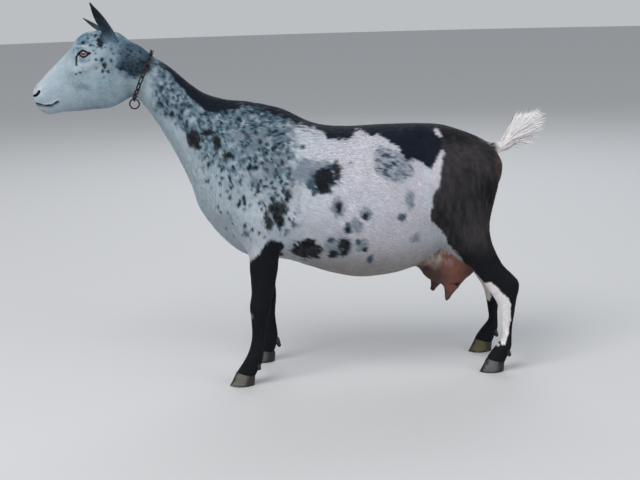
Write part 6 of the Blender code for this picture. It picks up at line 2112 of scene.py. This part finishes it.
def horn_look():
    """Horn: its colours varied by fine growth rings and by streaks down the wall."""
    made, nodes, links, shader = shader_of("hoof horn", {"Roughness": 0.52, "Specular IOR Level": 0.35})
    rings = noise_node(nodes, links, stretched(nodes, links, (0.15, 0.15, 1)), 420, 3)
    streaks = noise_node(nodes, links, stretched(nodes, links, (1, 1, 0.2)), 260, 4)
    tone = varied(nodes, links, attribute_colour(nodes), streaks, 0.60, 1.40)
    links.new(varied(nodes, links, tone, rings, 0.80, 1.20), shader.inputs["Base Color"])
    bumped(nodes, links, shader, rings, 0.45, 0.0006)
    return made


def steel_look():
    """Dark steel that is paler where it is worn."""
    made, nodes, links, shader = shader_of("blackened steel", {"Metallic": 0.85, "Roughness": 0.40})
    worn = noise_node(nodes, links, stretched(nodes, links, (1, 1, 1)), 320, 4)
    ramp_node = nodes.new("ShaderNodeValToRGB")
    for stop, (position, colour) in zip(ramp_node.color_ramp.elements, STEEL_STOPS):
        stop.position = position
        stop.color = colour
    links.new(worn, ramp_node.inputs["Fac"])
    links.new(ramp_node.outputs["Color"], shader.inputs["Base Color"])
    bumped(nodes, links, shader, worn, 0.25, 0.0003)
    return made


def area_light(name, place, size, power, colour):
    light = bpy.data.lights.new(name, "AREA")
    light.shape = "RECTANGLE"
    light.size, light.size_y = size
    light.energy = power
    light.color = colour
    obj = placed(name, light)
    obj.location = place
    obj.rotation_euler = (Vector(LIT_POINT) - Vector(place)).to_track_quat("-Z", "Y").to_euler()


def make_stage():
    bm = bmesh.new()
    bmesh.ops.create_circle(bm, cap_ends=True, segments=96, radius=FLOOR_RADIUS)
    floor = object_of("floor", bm)
    floor.data.materials.append(shader_of("pale floor", {"Base Color": FLOOR_TONE, "Roughness": 0.85})[0])
    world = bpy.data.worlds.new("studio")
    world.use_nodes = True
    sky = world.node_tree.nodes["Background"]
    sky.inputs["Color"].default_value = STUDIO_TONE
    sky.inputs["Strength"].default_value = STUDIO_STRENGTH
    bpy.context.scene.world = world
    for name, light in LIGHTS.items():
        area_light(name, *light)
    bpy.context.scene.view_settings.view_transform = "Standard"


def make_camera():
    cam = bpy.data.cameras.new("camera")
    cam.sensor_width = 36.0
    cam.lens = LENS
    cam.clip_start = 0.05
    obj = placed("camera", cam)
    turn, pitch, roll = (math.radians(a) for a in CAMERA_ANGLES)
    ahead = Vector((math.sin(turn) * math.cos(pitch), math.cos(turn) * math.cos(pitch), -math.sin(pitch)))
    level = Vector((math.cos(turn), -math.sin(turn), 0))
    rise = level.cross(ahead)
    right = level * math.cos(roll) - rise * math.sin(roll)
    up = level * math.sin(roll) + rise * math.cos(roll)
    obj.matrix_world = Matrix.Translation(CAMERA_AT) @ Matrix((right, up, -ahead)).transposed().to_4x4()
    bpy.context.scene.camera = obj


def main():
    make_stage()
    make_camera()
    skin = make_skin()
    hair = coat_look("hair", 0.66, 0.03, False)
    under = coat_look("skin under the coat", 0.70, 0.05, True)
    _, _, depth = field_at(points_of(skin))
    set_points(skin, points_of(skin) - normals_of(skin) * depth[:, None])
    colour_layer(skin.data, "coat", coat_colour(points_of(skin)))
    skin.data.shade_smooth()
    skin.data.materials.clear()
    skin.data.materials.append(under)
    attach(skin, "root")
    flesh = ["head", "neck", "torso", "tail", "udder", "ear_left", "ear_right"]
    flesh += [f"leg_{end}_{side}" for end in ("front", "hind") for side in ("left", "right")]
    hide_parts(*flesh)
    print("skin", len(triangles_of(skin)))
    lay_coat(skin, hair)
    make_brush(coat_look("tail hair", 0.55, 0.25, False))
    make_lashes(hair)
    wet = eye_look()
    for name, side in (("eye_left", LEFT), ("eye_right", RIGHT)):
        make_eye(name, side, wet)
    make_feet()
    make_collar(steel_look())


main()
